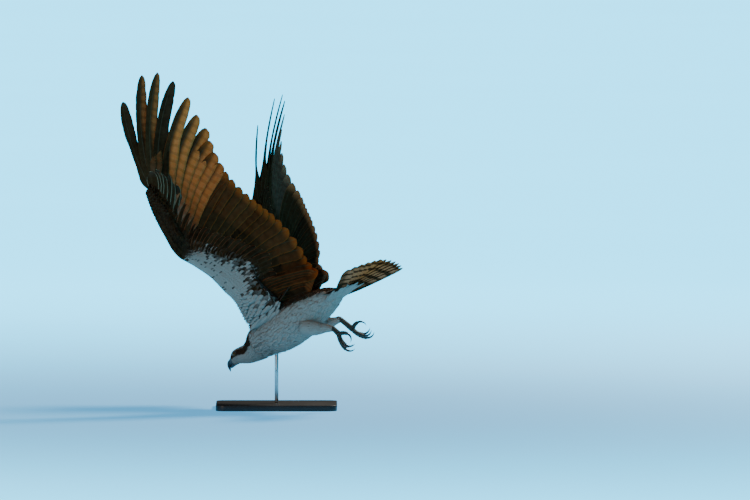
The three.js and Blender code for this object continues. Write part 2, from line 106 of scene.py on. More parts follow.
# The left wing: flesh from the trunk to the hand's end, as front, back, half thickness and feather number
FLESH = [
    ((14, 20, -14), (-88, 20, -6), 15, -2.0),
    ((22, 64, 0), (-88, 52, 24), 17, -0.9),
    ((13, 104, 54), (-76, 92, 78), 15, 0.6),
    ((15, 139, 89), (-75, 112, 123), 13, 3),
    ((18, 174, 126), (-49, 153, 151), 11.5, 6),
    ((30, 219, 163), (-18, 200, 181), 10, 10),
    ((45, 268, 204), (11, 240, 215), 9, 14.3),
    ((49, 281, 256), (12, 262, 265), 8.5, 17),
    ((53, 289, 320), (18, 270, 325), 7.5, 20),
    ((50, 293, 375), (25, 285, 380), 6.5, 22.8),
    ((46, 296, 402), (30, 290, 402), 4.5, 24),
]
# How high the flesh stands over its middle, by share of its chord
PROFILE = [(0, 0), (0.07, 0.62), (0.3, 1), (0.62, 0.8), (1, 0.42)]

# Roots and tips of the flight feathers by number, the secondaries first and then the primaries
ROOT_LINE = [
    (0, -38, 88, 70),
    (3, -56, 121, 117),
    (8, -17, 186, 160),
    (14, 20, 247, 202),
    (15, 23, 257, 220),
    (20, 29, 273, 312),
    (24, 32, 286, 390),
]
TIP_LINE = [
    (0, -211, 26, 47),
    (1.6, -196, 28, 84),
    (3.2, -202, 48, 119),
    (5, -198, 76, 173),
    (6.8, -187, 101, 217),
    (8.4, -177, 121, 243),
    (10, -167, 138, 270),
    (11.5, -157, 158, 300),
    (12.8, -147, 172, 332),
    (14, -137, 176, 364),
    (15, -131, 179, 393),
    (16, -129, 185, 424),
    (17, -132, 192, 457),
    (18, -139, 201, 490),
    (19, -141, 226, 526),
    (20, -150, 256, 570),
    (21, -146, 296, 616),
    (22, -130, 331, 646),
    (23, -94, 351, 654),
    (24, -16, 356, 613),
]
SECONDARIES = 15
OUTERMOST = 24
FIRST_FINGER = 20
FINGER_EDGE = np.array((0.57, 0.77, 0.28))
VANE_TWIST = math.radians(5)
COVERT_TILT = 0.10
SHAFT_ARCH = 0.03
SHAFT_SWEEP = 0.062

# The tail: length and rise in millimetres, and each feather a step below its neighbour
TAIL_FEATHERS = 12
TAIL_LENGTH = 194
TAIL_ROOT = np.array((-226.0, 0, -27))
TAIL_TURN = math.radians(15.5)
TAIL_SPREAD = math.radians(31.5)
TAIL_STEP = 1.8
TAIL_RISE = 4
TAIL_BARS = 155  # millimetres of a tail feather that carry as many bars as 100 of a flight feather

# Tiers of tail coverts: where they start, their length, how many and how wide
TAIL_TIERS = ((0, 84, 13, 17), (10, 74, 15, 16), (22, 66, 15, 15), (34, 58, 15, 14))

# The joints of the legs, where the toes point, where the sole faces and how far back the hind toe turns
LEGS = {
    "left": {
        "knee": (-112, 36, -72),
        "ankle": (-187, 33, -111),
        "toes": (-212, 50, -141),
        "reach": (0.34, -0.14, -0.93),
        "palm": (-0.84, -0.3, -0.24),
        "hind": 108,
    },
    "right": {
        "knee": (-108, -36, -66),
        "ankle": (-184, -33, -79),
        "toes": (-213, -36, -120),
        "reach": (-0.11, -0.56, -0.85),
        "palm": (-0.89, -0.32, 0.33),
        "hind": 125,
    },
}

# Splay and curl of the toes in degrees, and the length of toe and claw
TOES = {
    "inner": {"splay": -24, "length": 36, "curl": 46, "claw": 27},
    "middle": {"splay": 2, "length": 43, "curl": 40, "claw": 28},
    "outer": {"splay": 27, "length": 37, "curl": 44, "claw": 26},
    "hind": {"splay": 0, "length": 22, "curl": -50, "claw": 27},
}


def unit(vectors):
    """Vectors of length one."""
    return vectors / np.maximum(np.linalg.norm(vectors, axis=-1, keepdims=True), 1e-9)


def smooth_step(low, high, value):
    """A smooth rise from 0 at low to 1 at high."""
    t = np.clip((value - low) / (high - low), 0, 1)
    return t * t * (3 - 2 * t)


def between(table):
    """Smooth values between the rows of a table whose first column is the station."""
    rows = np.array(table, float)
    at, values = rows[:, 0], rows[:, 1:]
    last = len(at) - 1

    def value(t):
        t = np.clip(np.asarray(t, float), at[0], at[-1])
        i = np.clip(np.searchsorted(at, t, side="right"), 1, last)
        before, after = np.where(i >= 2, i - 2, i), np.where(i < last, i + 1, i - 1)
        half = (at[i] - at[i - 1]) / 2
        lead = half / (at[i - 1] - at[before])
        follow = half / (at[after] - at[i])
        p = (t - at[i - 1]) / (at[i] - at[i - 1])
        shares = (
            -lead * p**3 + 2 * lead * p**2 - lead * p,
            (1 + lead) * p**3 - (1.5 + 2 * lead) * p**2 + (lead - 0.5) * p + 1,
            -(1 + follow) * p**3 + (1.5 + follow) * p**2 + 0.5 * p,
            follow * (p**3 - p**2),
        )
        return sum(s[..., None] * values[j] for s, j in zip(shares, (before, i - 1, i, after)))

    return value


body_at = between(BODY)
root_at = between(ROOT_LINE)
tip_at = between(TIP_LINE)
flesh_at = between([(n, *front, *back, thick) for front, back, thick, n in FLESH])


# Finishes


class Value:
    """A socket of a finish's nodes, with arithmetic."""

    def __init__(self, finish, socket):
        self.finish, self.socket = finish, socket

    def _math(self, operation, *operands, clamp=False):
        node = self.finish.tree.nodes.new("ShaderNodeMath")
        node.operation, node.use_clamp = operation, clamp
        for slot, operand in zip(node.inputs, operands):
            self.finish.feed(slot, operand)
        return Value(self.finish, node.outputs[0])

    def __add__(self, other):
        return self._math("ADD", self, other)

    def __sub__(self, other):
        return self._math("SUBTRACT", self, other)

    def __mul__(self, other):
        return self._math("MULTIPLY", self, other)

    def __rsub__(self, other):
        return self._math("SUBTRACT", other, self)

    __radd__, __rmul__ = __add__, __mul__

    def rise(self, low, high):
        """A smooth rise from 0 at low to 1 at high."""
        node = self.finish.tree.nodes.new("ShaderNodeMapRange")
        node.interpolation_type = "SMOOTHSTEP"
        for slot, operand in zip(node.inputs, (self, low, high, 0.0, 1.0)):
            self.finish.feed(slot, operand)
        return Value(self.finish, node.outputs[0])

    def size(self):
        """The value without its sign."""
        return self._math("ABSOLUTE", self)

    def wave(self):
        """The sine of the value."""
        return self._math("SINE", self)

    def held(self):
        """The value kept between 0 and 1."""
        return self._math("ADD", self, 0.0, clamp=True)


class Finish:
    """A material under construction: one principled shader and the nodes that feed it."""

    def __init__(self, name, **constants):
        self.material = bpy.data.materials.new(name)
        self.material.use_nodes = True
        self.tree = self.material.node_tree
        self.shader = self.tree.nodes["Principled BSDF"]
        for socket, value in constants.items():
            self.shader.inputs[socket.replace("_", " ")].default_value = value

    def feed(self, slot, value):
        """Link or set one socket."""
        if isinstance(value, Value):
            self.tree.links.new(value.socket, slot)
        else:
            slot.default_value = value

    def node(self, kind, settings=None, out=0, **inputs):
        """A node with its settings and sockets, and one of its outputs as a value."""
        made = self.tree.nodes.new(kind)
        for key, value in (settings or {}).items():
            setattr(made, key, value)
        for key, value in inputs.items():
            self.feed(made.inputs[key.replace("_", " ")], value)
        return Value(self, made.outputs[out])

    def mix(self, share, first, second):
        """A colour between two colours."""
        made = self.tree.nodes.new("ShaderNodeMix")
        made.data_type = "RGBA"
        self.feed(made.inputs[0], share)
        self.feed(made.inputs[6], first)
        self.feed(made.inputs[7], second)
        return Value(self, made.outputs[2])

    def place(self):
        """Object coordinates."""
        return self.node("ShaderNodeTexCoord", out="Object")

    def noise(self, scale, detail=3.0):
        """Cloudy variation between 0 and 1."""
        return self.node("ShaderNodeTexNoise", Vector=self.place(), Scale=scale, Detail=detail)

    def paint(self, slot, value):
        """Feed one socket of the shader."""
        self.feed(self.shader.inputs[slot], value)

    def bump(self, height, strength, distance):
        """Raise the surface by a height."""
        made = self.node("ShaderNodeBump", Height=height, Strength=strength, Distance=distance)
        self.paint("Normal", made)


def shade(red, green, blue):
    """A colour with full cover."""
    return (red, green, blue, 1.0)


# The white of the plumage, darkened everywhere to a painted shade
SHADED_WHITE_FEATHER = shade(0.38, 0.325, 0.275)
CREAM = shade(0.44, 0.31, 0.19)
DARK_BROWN = shade(0.015, 0.006, 0.0028)
PALE_GREY = shade(0.060, 0.048, 0.036)
MID_BROWN = shade(0.075, 0.030, 0.011)
# Saturated orange: partly the rufous tint of the plumage, partly painted glow of light shining through the
# feathers
RUFOUS_AND_GLOW = shade(0.84, 0.145, 0.016)


def feather_finish():
    """Plumage: each vane carries how dark, barred, edged and warm it is, and the shader draws the rest. The
    warmth is partly rufous tint and partly painted glow of light shining through the vanes.
    """
    f = Finish("plumage", Roughness=0.72, Specular_IOR_Level=0.0)
    mark = f.node("ShaderNodeAttribute", {"attribute_name": "Mark"}, out="Color")
    split = f.node("ShaderNodeSeparateColor", Color=mark)
    dark, barred, edged = (Value(f, s) for s in split.socket.node.outputs)
    kind = f.node("ShaderNodeAttribute", {"attribute_name": "Kind"}, out="Color")
    parts = f.node("ShaderNodeSeparateColor", Color=kind)
    seed, run, warm = (Value(f, s) for s in parts.socket.node.outputs)
    vane = f.node("ShaderNodeUVMap", {"uv_map": "Vane"})
    spread = f.node("ShaderNodeSeparateXYZ", Vector=vane)
    across, along = (Value(f, s) for s in spread.socket.node.outputs[:2])
    leading = f.node("ShaderNodeAttribute", {"attribute_name": "Mark"}, out="Alpha")
    rooted = f.node("ShaderNodeAttribute", {"attribute_name": "Kind"}, out="Alpha")
    side = across - 0.5
    dark = dark + (leading - dark) * side.rise(-0.26, 0.02)
    dark = (dark + rooted * (1.0 - along.rise(0.22, 0.62)) * 0.8).held()
    cloud = f.noise(90.0)
    wobble = f.noise(35.0)
    wave = (run * 31.0 + side.size() * 3.2 + seed * 5.0 + wobble * 4.5).wave()
    bar = wave.rise(-0.1, 0.7) * barred
    warm = warm * along.rise(-0.05, 0.35)
    # Warm parts turn orange: painted glow of light through the vanes, partly the rufous tint
    light = f.mix(warm, SHADED_WHITE_FEATHER, RUFOUS_AND_GLOW)
    light = f.mix((cloud * 0.16) * warm, light, SHADED_WHITE_FEATHER)
    brown = f.mix((cloud * 0.9 + seed * 0.5 - 0.35).held(), DARK_BROWN, MID_BROWN)
    cover = (dark + bar * (1.0 - dark) * 0.92).held()
    colour = f.mix(cover, light, brown)
    rim = (along.rise(0.86, 0.99) + side.size().rise(0.42, 0.5) * 0.5).held() * edged
    # The rims take the same warm tint: pale and rufous fringes, partly a painted rim of light
    colour = f.mix(rim, colour, f.mix(warm, CREAM, RUFOUS_AND_GLOW))
    colour = f.mix(along.rise(0.62, 0.8) * (edged - 1.0).held(), colour, PALE_GREY)
    shaft = (1.0 - side.size().rise(0.0, 0.035)) * 0.5 * (1.0 - edged * 0.4)
    colour = f.mix(shaft * dark.rise(-0.2, 1.4), colour, shade(0.12, 0.08, 0.05))
    f.paint("Base Color", colour)
    barbs = (along * 260.0 + side.size() * 150.0 + cloud * 3.0).wave()
    f.paint("Roughness", 0.62 + cloud * 0.2)
    f.bump(barbs, 0.22, 0.0004)
    return f.material


def skin_finish():
    """Skin under the coat, in the coat's own markings."""
    f = Finish("plumage_skin", Roughness=0.85)
    mark = f.node("ShaderNodeAttribute", {"attribute_name": "Mark"}, out="Color")
    split = f.node("ShaderNodeSeparateColor", Color=mark)
    colour = f.mix(split, SHADED_WHITE_FEATHER, DARK_BROWN)
    cloud = f.noise(160.0)
    f.paint("Base Color", f.mix(cloud * 0.4, colour, MID_BROWN))
    f.bump(cloud, 0.5, 0.001)
    return f.material


def horn_finish(name, tint, edge):
    """Smooth horn, with fine growth lines."""
    f = Finish(name, Roughness=0.28, Coat_Weight=0.3)
    cloud = f.noise(220.0)
    fine = f.noise(900.0, 5.0)
    f.paint("Base Color", f.mix(cloud.rise(0.35, 0.75), tint, edge))
    f.paint("Roughness", 0.22 + cloud * 0.2)
    f.bump(fine, 0.12, 0.0003)
    return f.material


def bill_finish():
    """Black horn with a grey cere at its root."""
    f = Finish("bill_horn", Roughness=0.4, Coat_Weight=0.05)
    cere = f.node("ShaderNodeAttribute", {"attribute_name": "Cere"}, out="Fac")
    cloud = f.noise(220.0)
    fine = f.noise(1500.0, 4.0)
    horn = f.mix(cloud.rise(0.35, 0.75), shade(0.008, 0.008, 0.009), shade(0.022, 0.021, 0.022))
    skin = f.mix(cloud.rise(0.35, 0.75), shade(0.055, 0.065, 0.075), shade(0.10, 0.11, 0.12))
    f.paint("Base Color", f.mix(cere, horn, skin))
    f.paint("Roughness", 0.36 + cloud * 0.15 + cere * 0.2)
    f.bump(fine, 0.15, 0.0002)
    return f.material


def scale_finish():
    """Scaled skin of the feet, its colours darkened to a painted shade."""
    f = Finish("foot_scales", Roughness=0.55)
    cells = f.node("ShaderNodeTexVoronoi", {"feature": "DISTANCE_TO_EDGE"}, Vector=f.place(), Scale=420.0)
    cloud = f.noise(120.0)
    groove = cells.rise(0.0, 0.12)
    # Both skin colours are kept dark: painted shade over the grey-green skin
    pale = f.mix(cloud.rise(0.3, 0.7), shade(0.036, 0.040, 0.026), shade(0.066, 0.070, 0.048))
    f.paint("Base Color", f.mix(groove, shade(0.018, 0.018, 0.013), pale))
    f.paint("Roughness", 0.5 + cloud * 0.2)
    f.bump(groove, 0.7, 0.0008)
    return f.material


def eye_finish():
    """Yellow iris round a black pupil, under a clear cornea."""
    f = Finish("eye_iris", Roughness=0.14, Specular_IOR_Level=0.2)
    uv = f.node("ShaderNodeUVMap", {"uv_map": "UVMap"})
    spread = f.node("ShaderNodeSeparateXYZ", Vector=uv)
    turn, down = (Value(f, s) for s in spread.socket.node.outputs[:2])
    out = 1.0 - down
    rays = (turn * 400.0).wave() * 0.5 + 0.5
    iris = f.mix(rays * 0.5, shade(0.95, 0.42, 0.01), shade(1.0, 0.60, 0.03))
    iris = f.mix(out.rise(0.22, 0.30), iris, shade(0.10, 0.05, 0.01))
    f.paint("Base Color", f.mix(1.0 - out.rise(0.125, 0.135), iris, shade(0.004, 0.004, 0.004)))
    return f.material


def stand_finish(name, tint, lighter, metallic, roughness):
    """Plain painted or metal stand surface with a faint grain."""
    f = Finish(name, Metallic=metallic, Roughness=roughness)
    cloud = f.noise(14.0, 6.0)
    fine = f.noise(700.0, 2.0)
    f.paint("Base Color", f.mix(cloud * 0.6, tint, lighter))
    f.paint("Roughness", roughness + (cloud - 0.5) * 0.2)
    f.bump(fine, 0.06, 0.0003)
    return f.material


# Mesh helpers


def shown(name, mesh, finish, slot, *replaced):
    """Put a mesh in the scene as a piece of the bird or the stand."""
    made = bpy.data.objects.new(name, mesh)
    bpy.context.scene.collection.objects.link(made)
    mesh.materials.clear()
    mesh.materials.append(finish)
    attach(made, "root")
    if replaced:
        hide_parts(*replaced)
    return made


def worked(name, bm, posed=True):
    """A mesh from a worked one, turned into the bird's place."""
    bmesh.ops.recalc_face_normals(bm, faces=bm.faces)
    if posed:
        bm.transform(POSE)
    mesh = bpy.data.meshes.new(name)
    bm.to_mesh(mesh)
    bm.free()
    mesh.shade_smooth()
    return mesh


def rings(bm, stations, sides):
    """A closed skin over rings, each a centre and its two half axes."""
    loops = []
    for centre, first, second in stations:
        first, second = Vector(first), Vector(second)
        turn = Matrix((first, second, first.cross(second).normalized())).transposed().to_4x4()
        turn.translation = centre
        made = bmesh.ops.create_circle(bm, segments=sides, radius=1, matrix=turn, cap_ends=False)
        loops.append(list({e for v in made["verts"] for e in v.link_edges}))
    for before, after in zip(loops, loops[1:]):
        bmesh.ops.bridge_loops(bm, edges=before + after)
    for loop in (loops[0], loops[-1]):
        bmesh.ops.contextual_create(bm, geom=loop)


def limb_rings(line, radii, steps):
    """Rings along a curve through points, with a radius at even stations."""
    points = np.array([tuple(p) for p in line], float)
    curve = between([(i, *p) for i, p in enumerate(points)])
    share = np.linspace(0, len(points) - 1, steps)
    places = curve(share)
    ahead = unit(np.gradient(places, axis=0))
    radius = np.interp(np.linspace(0, 1, steps), np.linspace(0, 1, len(radii)), radii)
    side = unit(np.cross(ahead[0], (0.3, 1.0, 0.2)))
    stations = []
    for place, along, r in zip(places, ahead, radius):
        side = unit(side - along * side.dot(along))
        up = np.cross(along, side)
        stations.append((place, side * r, up * r))
    return stations


def mesh_from(name, points, quads, uv, bake, mark, kind):
    """A joined mesh of many vanes, from arrays, turned into the bird's place."""
    placed = points @ POSE_ARRAY[:3, :3].T + POSE_ARRAY[:3, 3]
    mesh = bpy.data.meshes.new(name)
    mesh.vertices.add(len(placed))
    mesh.vertices.foreach_set("co", placed.astype(np.float32).ravel())
    mesh.loops.add(quads.size)
    mesh.loops.foreach_set("vertex_index", quads.astype(np.int32).ravel())
    mesh.polygons.add(len(quads))
    mesh.polygons.foreach_set("loop_start", np.arange(0, quads.size, 4, dtype=np.int32))
    mesh.update(calc_edges=True)
    mesh.validate()
    mesh.shade_smooth()
    for layer, values in (("Vane", uv), ("OFBake", bake)):
        made = mesh.uv_layers.new(name=layer)
        made.data.foreach_set("uv", values[quads.ravel()].astype(np.float32).ravel())
    for layer, values in (("Mark", mark), ("Kind", kind)):
        made = mesh.attributes.new(layer, "FLOAT_COLOR", "POINT")
        made.data.foreach_set("color", values.astype(np.float32).ravel())
    return mesh


def vanes(line, edge, face, lead, trail, columns, thick, droop, bake, mark, kind, fray=None):
    """Closed vanes: centre line, edge and face directions by feather and station, widths, and their marks.

    Arrays are by feather and station. mark has seven values: dark, barred and edged above, dark and
    barred below, then how dark the leading half is below and how dark the root; kind has four: seed,
    length as the bars count it, and warmth above and below. The warmth is partly rufous tint and partly
    painted glow of light shining through the vanes.
    """
    count, stations = line.shape[:2]
    c = np.linspace(-1, 1, columns)
    reach = np.where(c[None, None] > 0, lead[..., None], trail[..., None]) * c[None, None]
    if fray is not None:
        reach = reach * (1 - fray * (np.abs(c) > 0.99))
    middle = line[:, :, None] + edge[:, :, None] * reach[..., None]
    middle = middle - face[:, :, None] * (droop[..., None] * c**2)[..., None]
    half = (thick * (1.15 - np.abs(c)))[None, None, :, None] / 2 * face[:, :, None]
    points = np.stack((middle + half, middle - half), axis=2)
    share = np.linspace(0, 1, stations)
    index = np.arange(count * stations * 2 * columns).reshape(count, stations, 2, columns)
    a, b = index[:, :-1], index[:, 1:]

    def quad(p, q, r, s):
        return np.stack((p, q, r, s), axis=-1).reshape(-1, 4)

    quads = [
        quad(a[:, :, 0, :-1], b[:, :, 0, :-1], b[:, :, 0, 1:], a[:, :, 0, 1:]),
        quad(a[:, :, 1, 1:], b[:, :, 1, 1:], b[:, :, 1, :-1], a[:, :, 1, :-1]),
        quad(a[:, :, 1, 0], b[:, :, 1, 0], b[:, :, 0, 0], a[:, :, 0, 0]),
        quad(a[:, :, 0, -1], b[:, :, 0, -1], b[:, :, 1, -1], a[:, :, 1, -1]),
        quad(index[:, 0, 0, :-1], index[:, 0, 0, 1:], index[:, 0, 1, 1:], index[:, 0, 1, :-1]),
        quad(index[:, -1, 0, 1:], index[:, -1, 0, :-1], index[:, -1, 1, :-1], index[:, -1, 1, 1:]),
    ]
    shape = (count, stations, 2, columns)
    uv = np.stack(
        (np.broadcast_to((c + 1) / 2, shape), np.broadcast_to(share[None, :, None, None], shape)), axis=-1
    )
    patch = bake[:, None, None, None] + 0.003 * (uv - 0.5)
    below = np.array([0, 1])[None, None, :, None]

    def both(above, under):
        value = above[:, None, None, None] * (1 - below) + under[:, None, None, None] * below
        return np.broadcast_to(value, shape)

    run = np.broadcast_to((kind[:, 1, None] * share)[:, :, None, None], shape)
    marks = np.stack(
        (
            both(mark[:, 0], mark[:, 3]),
            both(mark[:, 1], mark[:, 4]),
            both(mark[:, 2], mark[:, 2] * 0.5),
            both(mark[:, 0], mark[:, 5]),
        ),
        axis=-1,
    )
    kinds = np.stack(
        (both(kind[:, 0], kind[:, 0]), run, both(kind[:, 2], kind[:, 3]), both(mark[:, 6], mark[:, 6])),
        axis=-1,
    )
    flat = [points.reshape(-1, 3), np.concatenate(quads), uv.reshape(-1, 2), patch.reshape(-1, 2)]
    return [*flat, marks.reshape(-1, 4), kinds.reshape(-1, 4)]


# Small and long vanes: columns across, thickness, and droop of the edges as a share of the width
SMALL_VANE = (3, 0.25, 0.1)
LONG_VANE = (5, 0.3, 0.08)


def lying_vanes(line, out, tilt, width, build, bake, mark, kind):
    """Vanes that lie back along their lines and face out, with the shaft in the middle."""
    columns, thick, sag = build
    ahead = unit(np.gradient(line, axis=1))
    edge = unit(np.cross(ahead, out) + tilt)
    face = unit(np.cross(edge, ahead))
    half = width / 2
    return vanes(line, edge, face, half, half, columns, thick, width * sag, bake, mark, kind)


def split_edges(stations):
    """How far small splits cut into the edges of a long vane."""
    return smooth_step(0.8, 0.97, chance.random((1, stations, 1))) * 0.07


def sized(measure, *where):
    """A measure for each feather, from one number or from a function of where the feathers are."""
    return measure(*where) if callable(measure) else np.full(len(where[0]), float(measure))


def gathered(batches):
    """Several batches of vanes as one."""
    offset, quads = 0, []
    for batch in batches:
        quads.append(batch[1] + offset)
        offset += len(batch[0])
    rest = [np.concatenate([b[i] for b in batches]) for i in (0, 2, 3, 4, 5)]
    return [rest[0], np.concatenate(quads), *rest[1:]]


def other_side(batch):
    """The mirror image of a batch on the bird's right side."""
    points, quads, uv, bake, mark, kind = batch
    return [points * (1, -1, 1), quads[:, ::-1], uv, bake * (-1, 1) + (1, 0), mark, kind]


# Markings of the plumage


def head_marks(points):
    """How dark the head and neck are: cream crown, dark stripe through the eye and down the neck."""
    x, _, z = points.T
    centre = np.interp(x, (30, 60, 84, 100, 110, 131), (-28, -38, -44, -40, -39.5, -42))
    width = np.interp(x, (30, 60, 84, 100, 110, 131), (16, 11, 9, 8.5, 7.5, 5))
    stripe = 1 - smooth_step(0.75, 1.2, np.abs(z - centre) / width)
    crown = smooth_step(4, 9, z - centre) * smooth_step(95, 40, x) * 0.75
    return np.clip(stripe + crown, 0, 1)


def body_marks(points):
    """How dark the trunk is: white below and brown above a line along the side."""
    x, _, z = points.T
    middle = body_at(x)[:, 0]
    above = smooth_step(4, 14, z - middle - np.interp(x, (-220, -60, 40), (6, 22, 18)))
    return np.where(x > 55, head_marks(points), np.clip(above, 0, 1))


# Feathers of the wing


def wing_sheet(number, share, lift=0.0):
    """Place, leading edge and upper face of the wing's sheet, for feathers by number and shares of length."""
    number = np.asarray(number, float)[:, None]
    share = np.asarray(share, float)
    loose = np.clip((number - FIRST_FINGER + 1) / 3, 0, 1)[..., None]
    before, after = np.maximum(number - 0.5, 0), np.minimum(number + 0.5, OUTERMOST)
    root, tip = root_at(number), tip_at(number)
    length = np.linalg.norm(tip - root, axis=-1, keepdims=True)
    along = (tip - root) / length
    across_root = root_at(after) - root_at(before)
    across_tip = tip_at(after) - tip_at(before)

    def directions(at):
        at = np.clip(at, 0, 1)[..., None]
        edge = across_root * (1 - at) + across_tip * at
        edge = unit(edge - along * np.sum(edge * along, -1, keepdims=True))
        return edge, unit(np.cross(edge, along))

    mid_edge, mid_face = directions(np.full(share.shape, 0.5))
    edge, face = directions(share)
    free = unit(FINGER_EDGE - along * np.sum(FINGER_EDGE * along, -1, keepdims=True))
    forward = unit(mid_edge * (1 - loose) + free * loose)
    bow = (4 * share * (1 - share))[..., None]
    place = root * (1 - share[..., None]) + tip * share[..., None]
    place = place + mid_face * SHAFT_ARCH * length * bow + forward * SHAFT_SWEEP * length * bow
    place = place + face * np.asarray(lift, float)[..., None]
    edge = edge * math.cos(VANE_TWIST) + face * math.sin(VANE_TWIST)
    open_ = loose * smooth_step(0.18, 0.5, share)[..., None]
    edge = unit(edge * (1 - open_) + free * open_)
    return place, edge, unit(np.cross(edge, along)), length[..., 0]


# Stations of a long covert and of a small feather, closer together toward the round tip, and the widths there
COVERT_STATIONS = np.array((0, 0.12, 0.3, 0.52, 0.7, 0.83, 0.92, 0.975, 1))
COVERT_WIDTHS = np.array((0.12, 0.45, 0.9, 1, 0.98, 0.88, 0.66, 0.36, 0.06))
SMALL_STATIONS = np.array((0, 0.34, 0.66, 0.86, 0.96, 1))
SMALL_WIDTHS = np.array((0.25, 0.8, 1, 0.84, 0.5, 0.08))


def outline(share, shape, width):
    """Width of a vane along its length."""
    return np.interp(share, *zip(*shape)) * width


# The width of a long vane at shares of its length
ROUND_VANE = [
    (0, 0.1),
    (0.08, 0.28),
    (0.25, 0.85),
    (0.5, 1),
    (0.84, 0.98),
    (0.93, 0.8),
    (0.975, 0.5),
    (1, 0.08),
]


def flight_marks_shade_and_glow(place):
    """Marks and warmth of a flight feather: primaries count outward from 1, secondaries are below 1. The
    warmth below is painted glow of light shining through the vanes, and the dark undersides of the
    secondaries are partly painted shade.
    """
    if place in (7, 10):
        return (0.985, 0, 0.1, 0.97, 0.2, 0.99, 0.2), (0.3, 0.6)
    if place > 7:
        return (0.96, 0, 0.1, 0.58, 0.4, 0.99, 0.4), (0.5, 1.0)
    if place >= 1:
        return (0.86, 0.3, 0.5, 0.34 - 0.05 * place, 0.25, 0.97, 0.6), (0.5, 1.0)
    # Secondaries: dark below partly as painted shade, with warm edges of painted glow
    return (0.98, 0.1, 0.7, 0.93, 0.3, 0.985, 1.0), (0.75, 1.0)


def flight_feathers():
    """The primaries and secondaries of the left wing."""
    stations = 46
    share = np.linspace(0, 1, stations)
    batches = []
    for number in range(OUTERMOST + 1):
        place = number - SECONDARIES + 1
        finger = np.clip((place - 4) / 4, 0, 1)
        if place < 1:
            lead, trail = outline(share, ROUND_VANE, 14), outline(share, ROUND_VANE, 29)
        else:
            wide, back = (9, 17) if place > 9 else (13, 30)
            notch = smooth_step(0.48, 0.66, share) * finger
            ends = np.interp(share, (0, 0.84, 0.93, 0.975, 1), (1, 1, 0.85, 0.6, 0.12))
            starts = np.interp(share, (0, 0.1, 0.28), (0.8, 1, 1) if place > 9 else (0.18, 0.45, 1))
            lead = (wide + (12.5 - wide) * notch) * starts * ends * (1 - 0.15 * smooth_step(0.8, 1, share))
            lead = lead + (11 * (1 - smooth_step(0.04, 0.32, share)) if number == OUTERMOST else 0)
            taper = 1 - 0.25 * finger * smooth_step(0.7, 1, share)
            trail = (back + (20 - back) * notch) * starts * ends * taper
        line, edge, face, length = wing_sheet([number], share[None])
        fray = split_edges(stations)
        seed = chance.random()
        run = length[0, 0] / 100
        mark, warm = flight_marks_shade_and_glow(place)
        batches.append(
            vanes(
                line, edge, face, lead[None], trail[None], 9, 0.6, np.full((1, stations), 1.2),
                np.array([[number / 25, 0.85]]),
                np.array([mark]), np.array([[seed, run, *warm]]), fray,
            )
        )
    return gathered([*batches, tertials()])


def tertials():
    """The longest inner feathers, between the innermost secondary and the back."""
    count = 7
    share = np.linspace(0, 1, 16)
    place = np.linspace(0, 1, count)[:, None]
    root = np.array((-36, 90, 70)) * (1 - place) + np.array((-62, 42, 22)) * place
    tip = np.array((-207, 27, 44)) * (1 - place) + np.array((-168, 22, 14)) * place
    line = root[:, None] + (tip - root)[:, None] * share[None, :, None]
    ahead = unit(np.gradient(line, axis=1))
    spread = np.array((0.1, 0.62, 0.78))
    edge = unit(spread - ahead * np.sum(spread * ahead, -1, keepdims=True))
    face = unit(np.cross(edge, ahead))
    line = line + face * (9 * share * (1 - share))[None, :, None]
    wide = outline(share, ROUND_VANE, 19.0)[None] * np.ones((count, 1))
    mark = np.tile((0.98, 0, 0.6, 0.94, 0.1, 0.98, 0.6), (count, 1))
    # The warmth below is painted glow of light shining through the vanes
    kind = np.stack((chance.random(count), *(np.full(count, v) for v in (1.5, 0.3, 0.9))), axis=-1)
    bake = np.stack((0.02 + 0.01 * place[:, 0], 0.82 + 0 * place[:, 0]), axis=-1)
    return vanes(line, edge, face, wide, wide, 7, 0.5, wide * 0.05, bake, mark, kind)


def slant(number):
    """How many feathers further in a line of coverts starts at the leading edge of the hand."""
    return 2.8 * smooth_step(12, 17, number) * (1 - 0.85 * smooth_step(21, 24, number))


def wing_surface(number, distance, side, lift):
    """The covered wing from the leading edge backward: flesh first, then the sheet of flight feathers."""
    number = np.asarray(number, float)[:, None]
    row = flesh_at(number)
    front = flesh_at(number - slant(number))[..., :3]
    back, thick = row[..., 3:6], row[..., 6]
    chord = np.linalg.norm(back - front, axis=-1)
    share = np.clip(distance / chord, 0, 1)
    after, before = flesh_at(number + 0.5), flesh_at(number - 0.5)
    span = (after[..., :3] + after[..., 3:6] - before[..., :3] - before[..., 3:6]) / 2
    up = unit(np.cross(span, back - front))
    high = np.interp(share, *zip(*PROFILE)) * thick
    flesh = front + (back - front) * share[..., None] + up * (side * (high + lift))[..., None]
    inner = np.maximum(number, 0)
    length = np.linalg.norm(tip_at(inner) - root_at(inner), axis=-1)
    past = (distance - chord + 14) / length
    rest = np.clip(1 - (distance - chord) / 60, 0, 1)
    sheet, _, _, _ = wing_sheet(inner[:, 0], past, side * (lift + 1.2 + rest * thick * 0.35))
    blend = smooth_step(-6, 10, distance - chord)[..., None]
    return flesh * (1 - blend) + sheet * blend, span


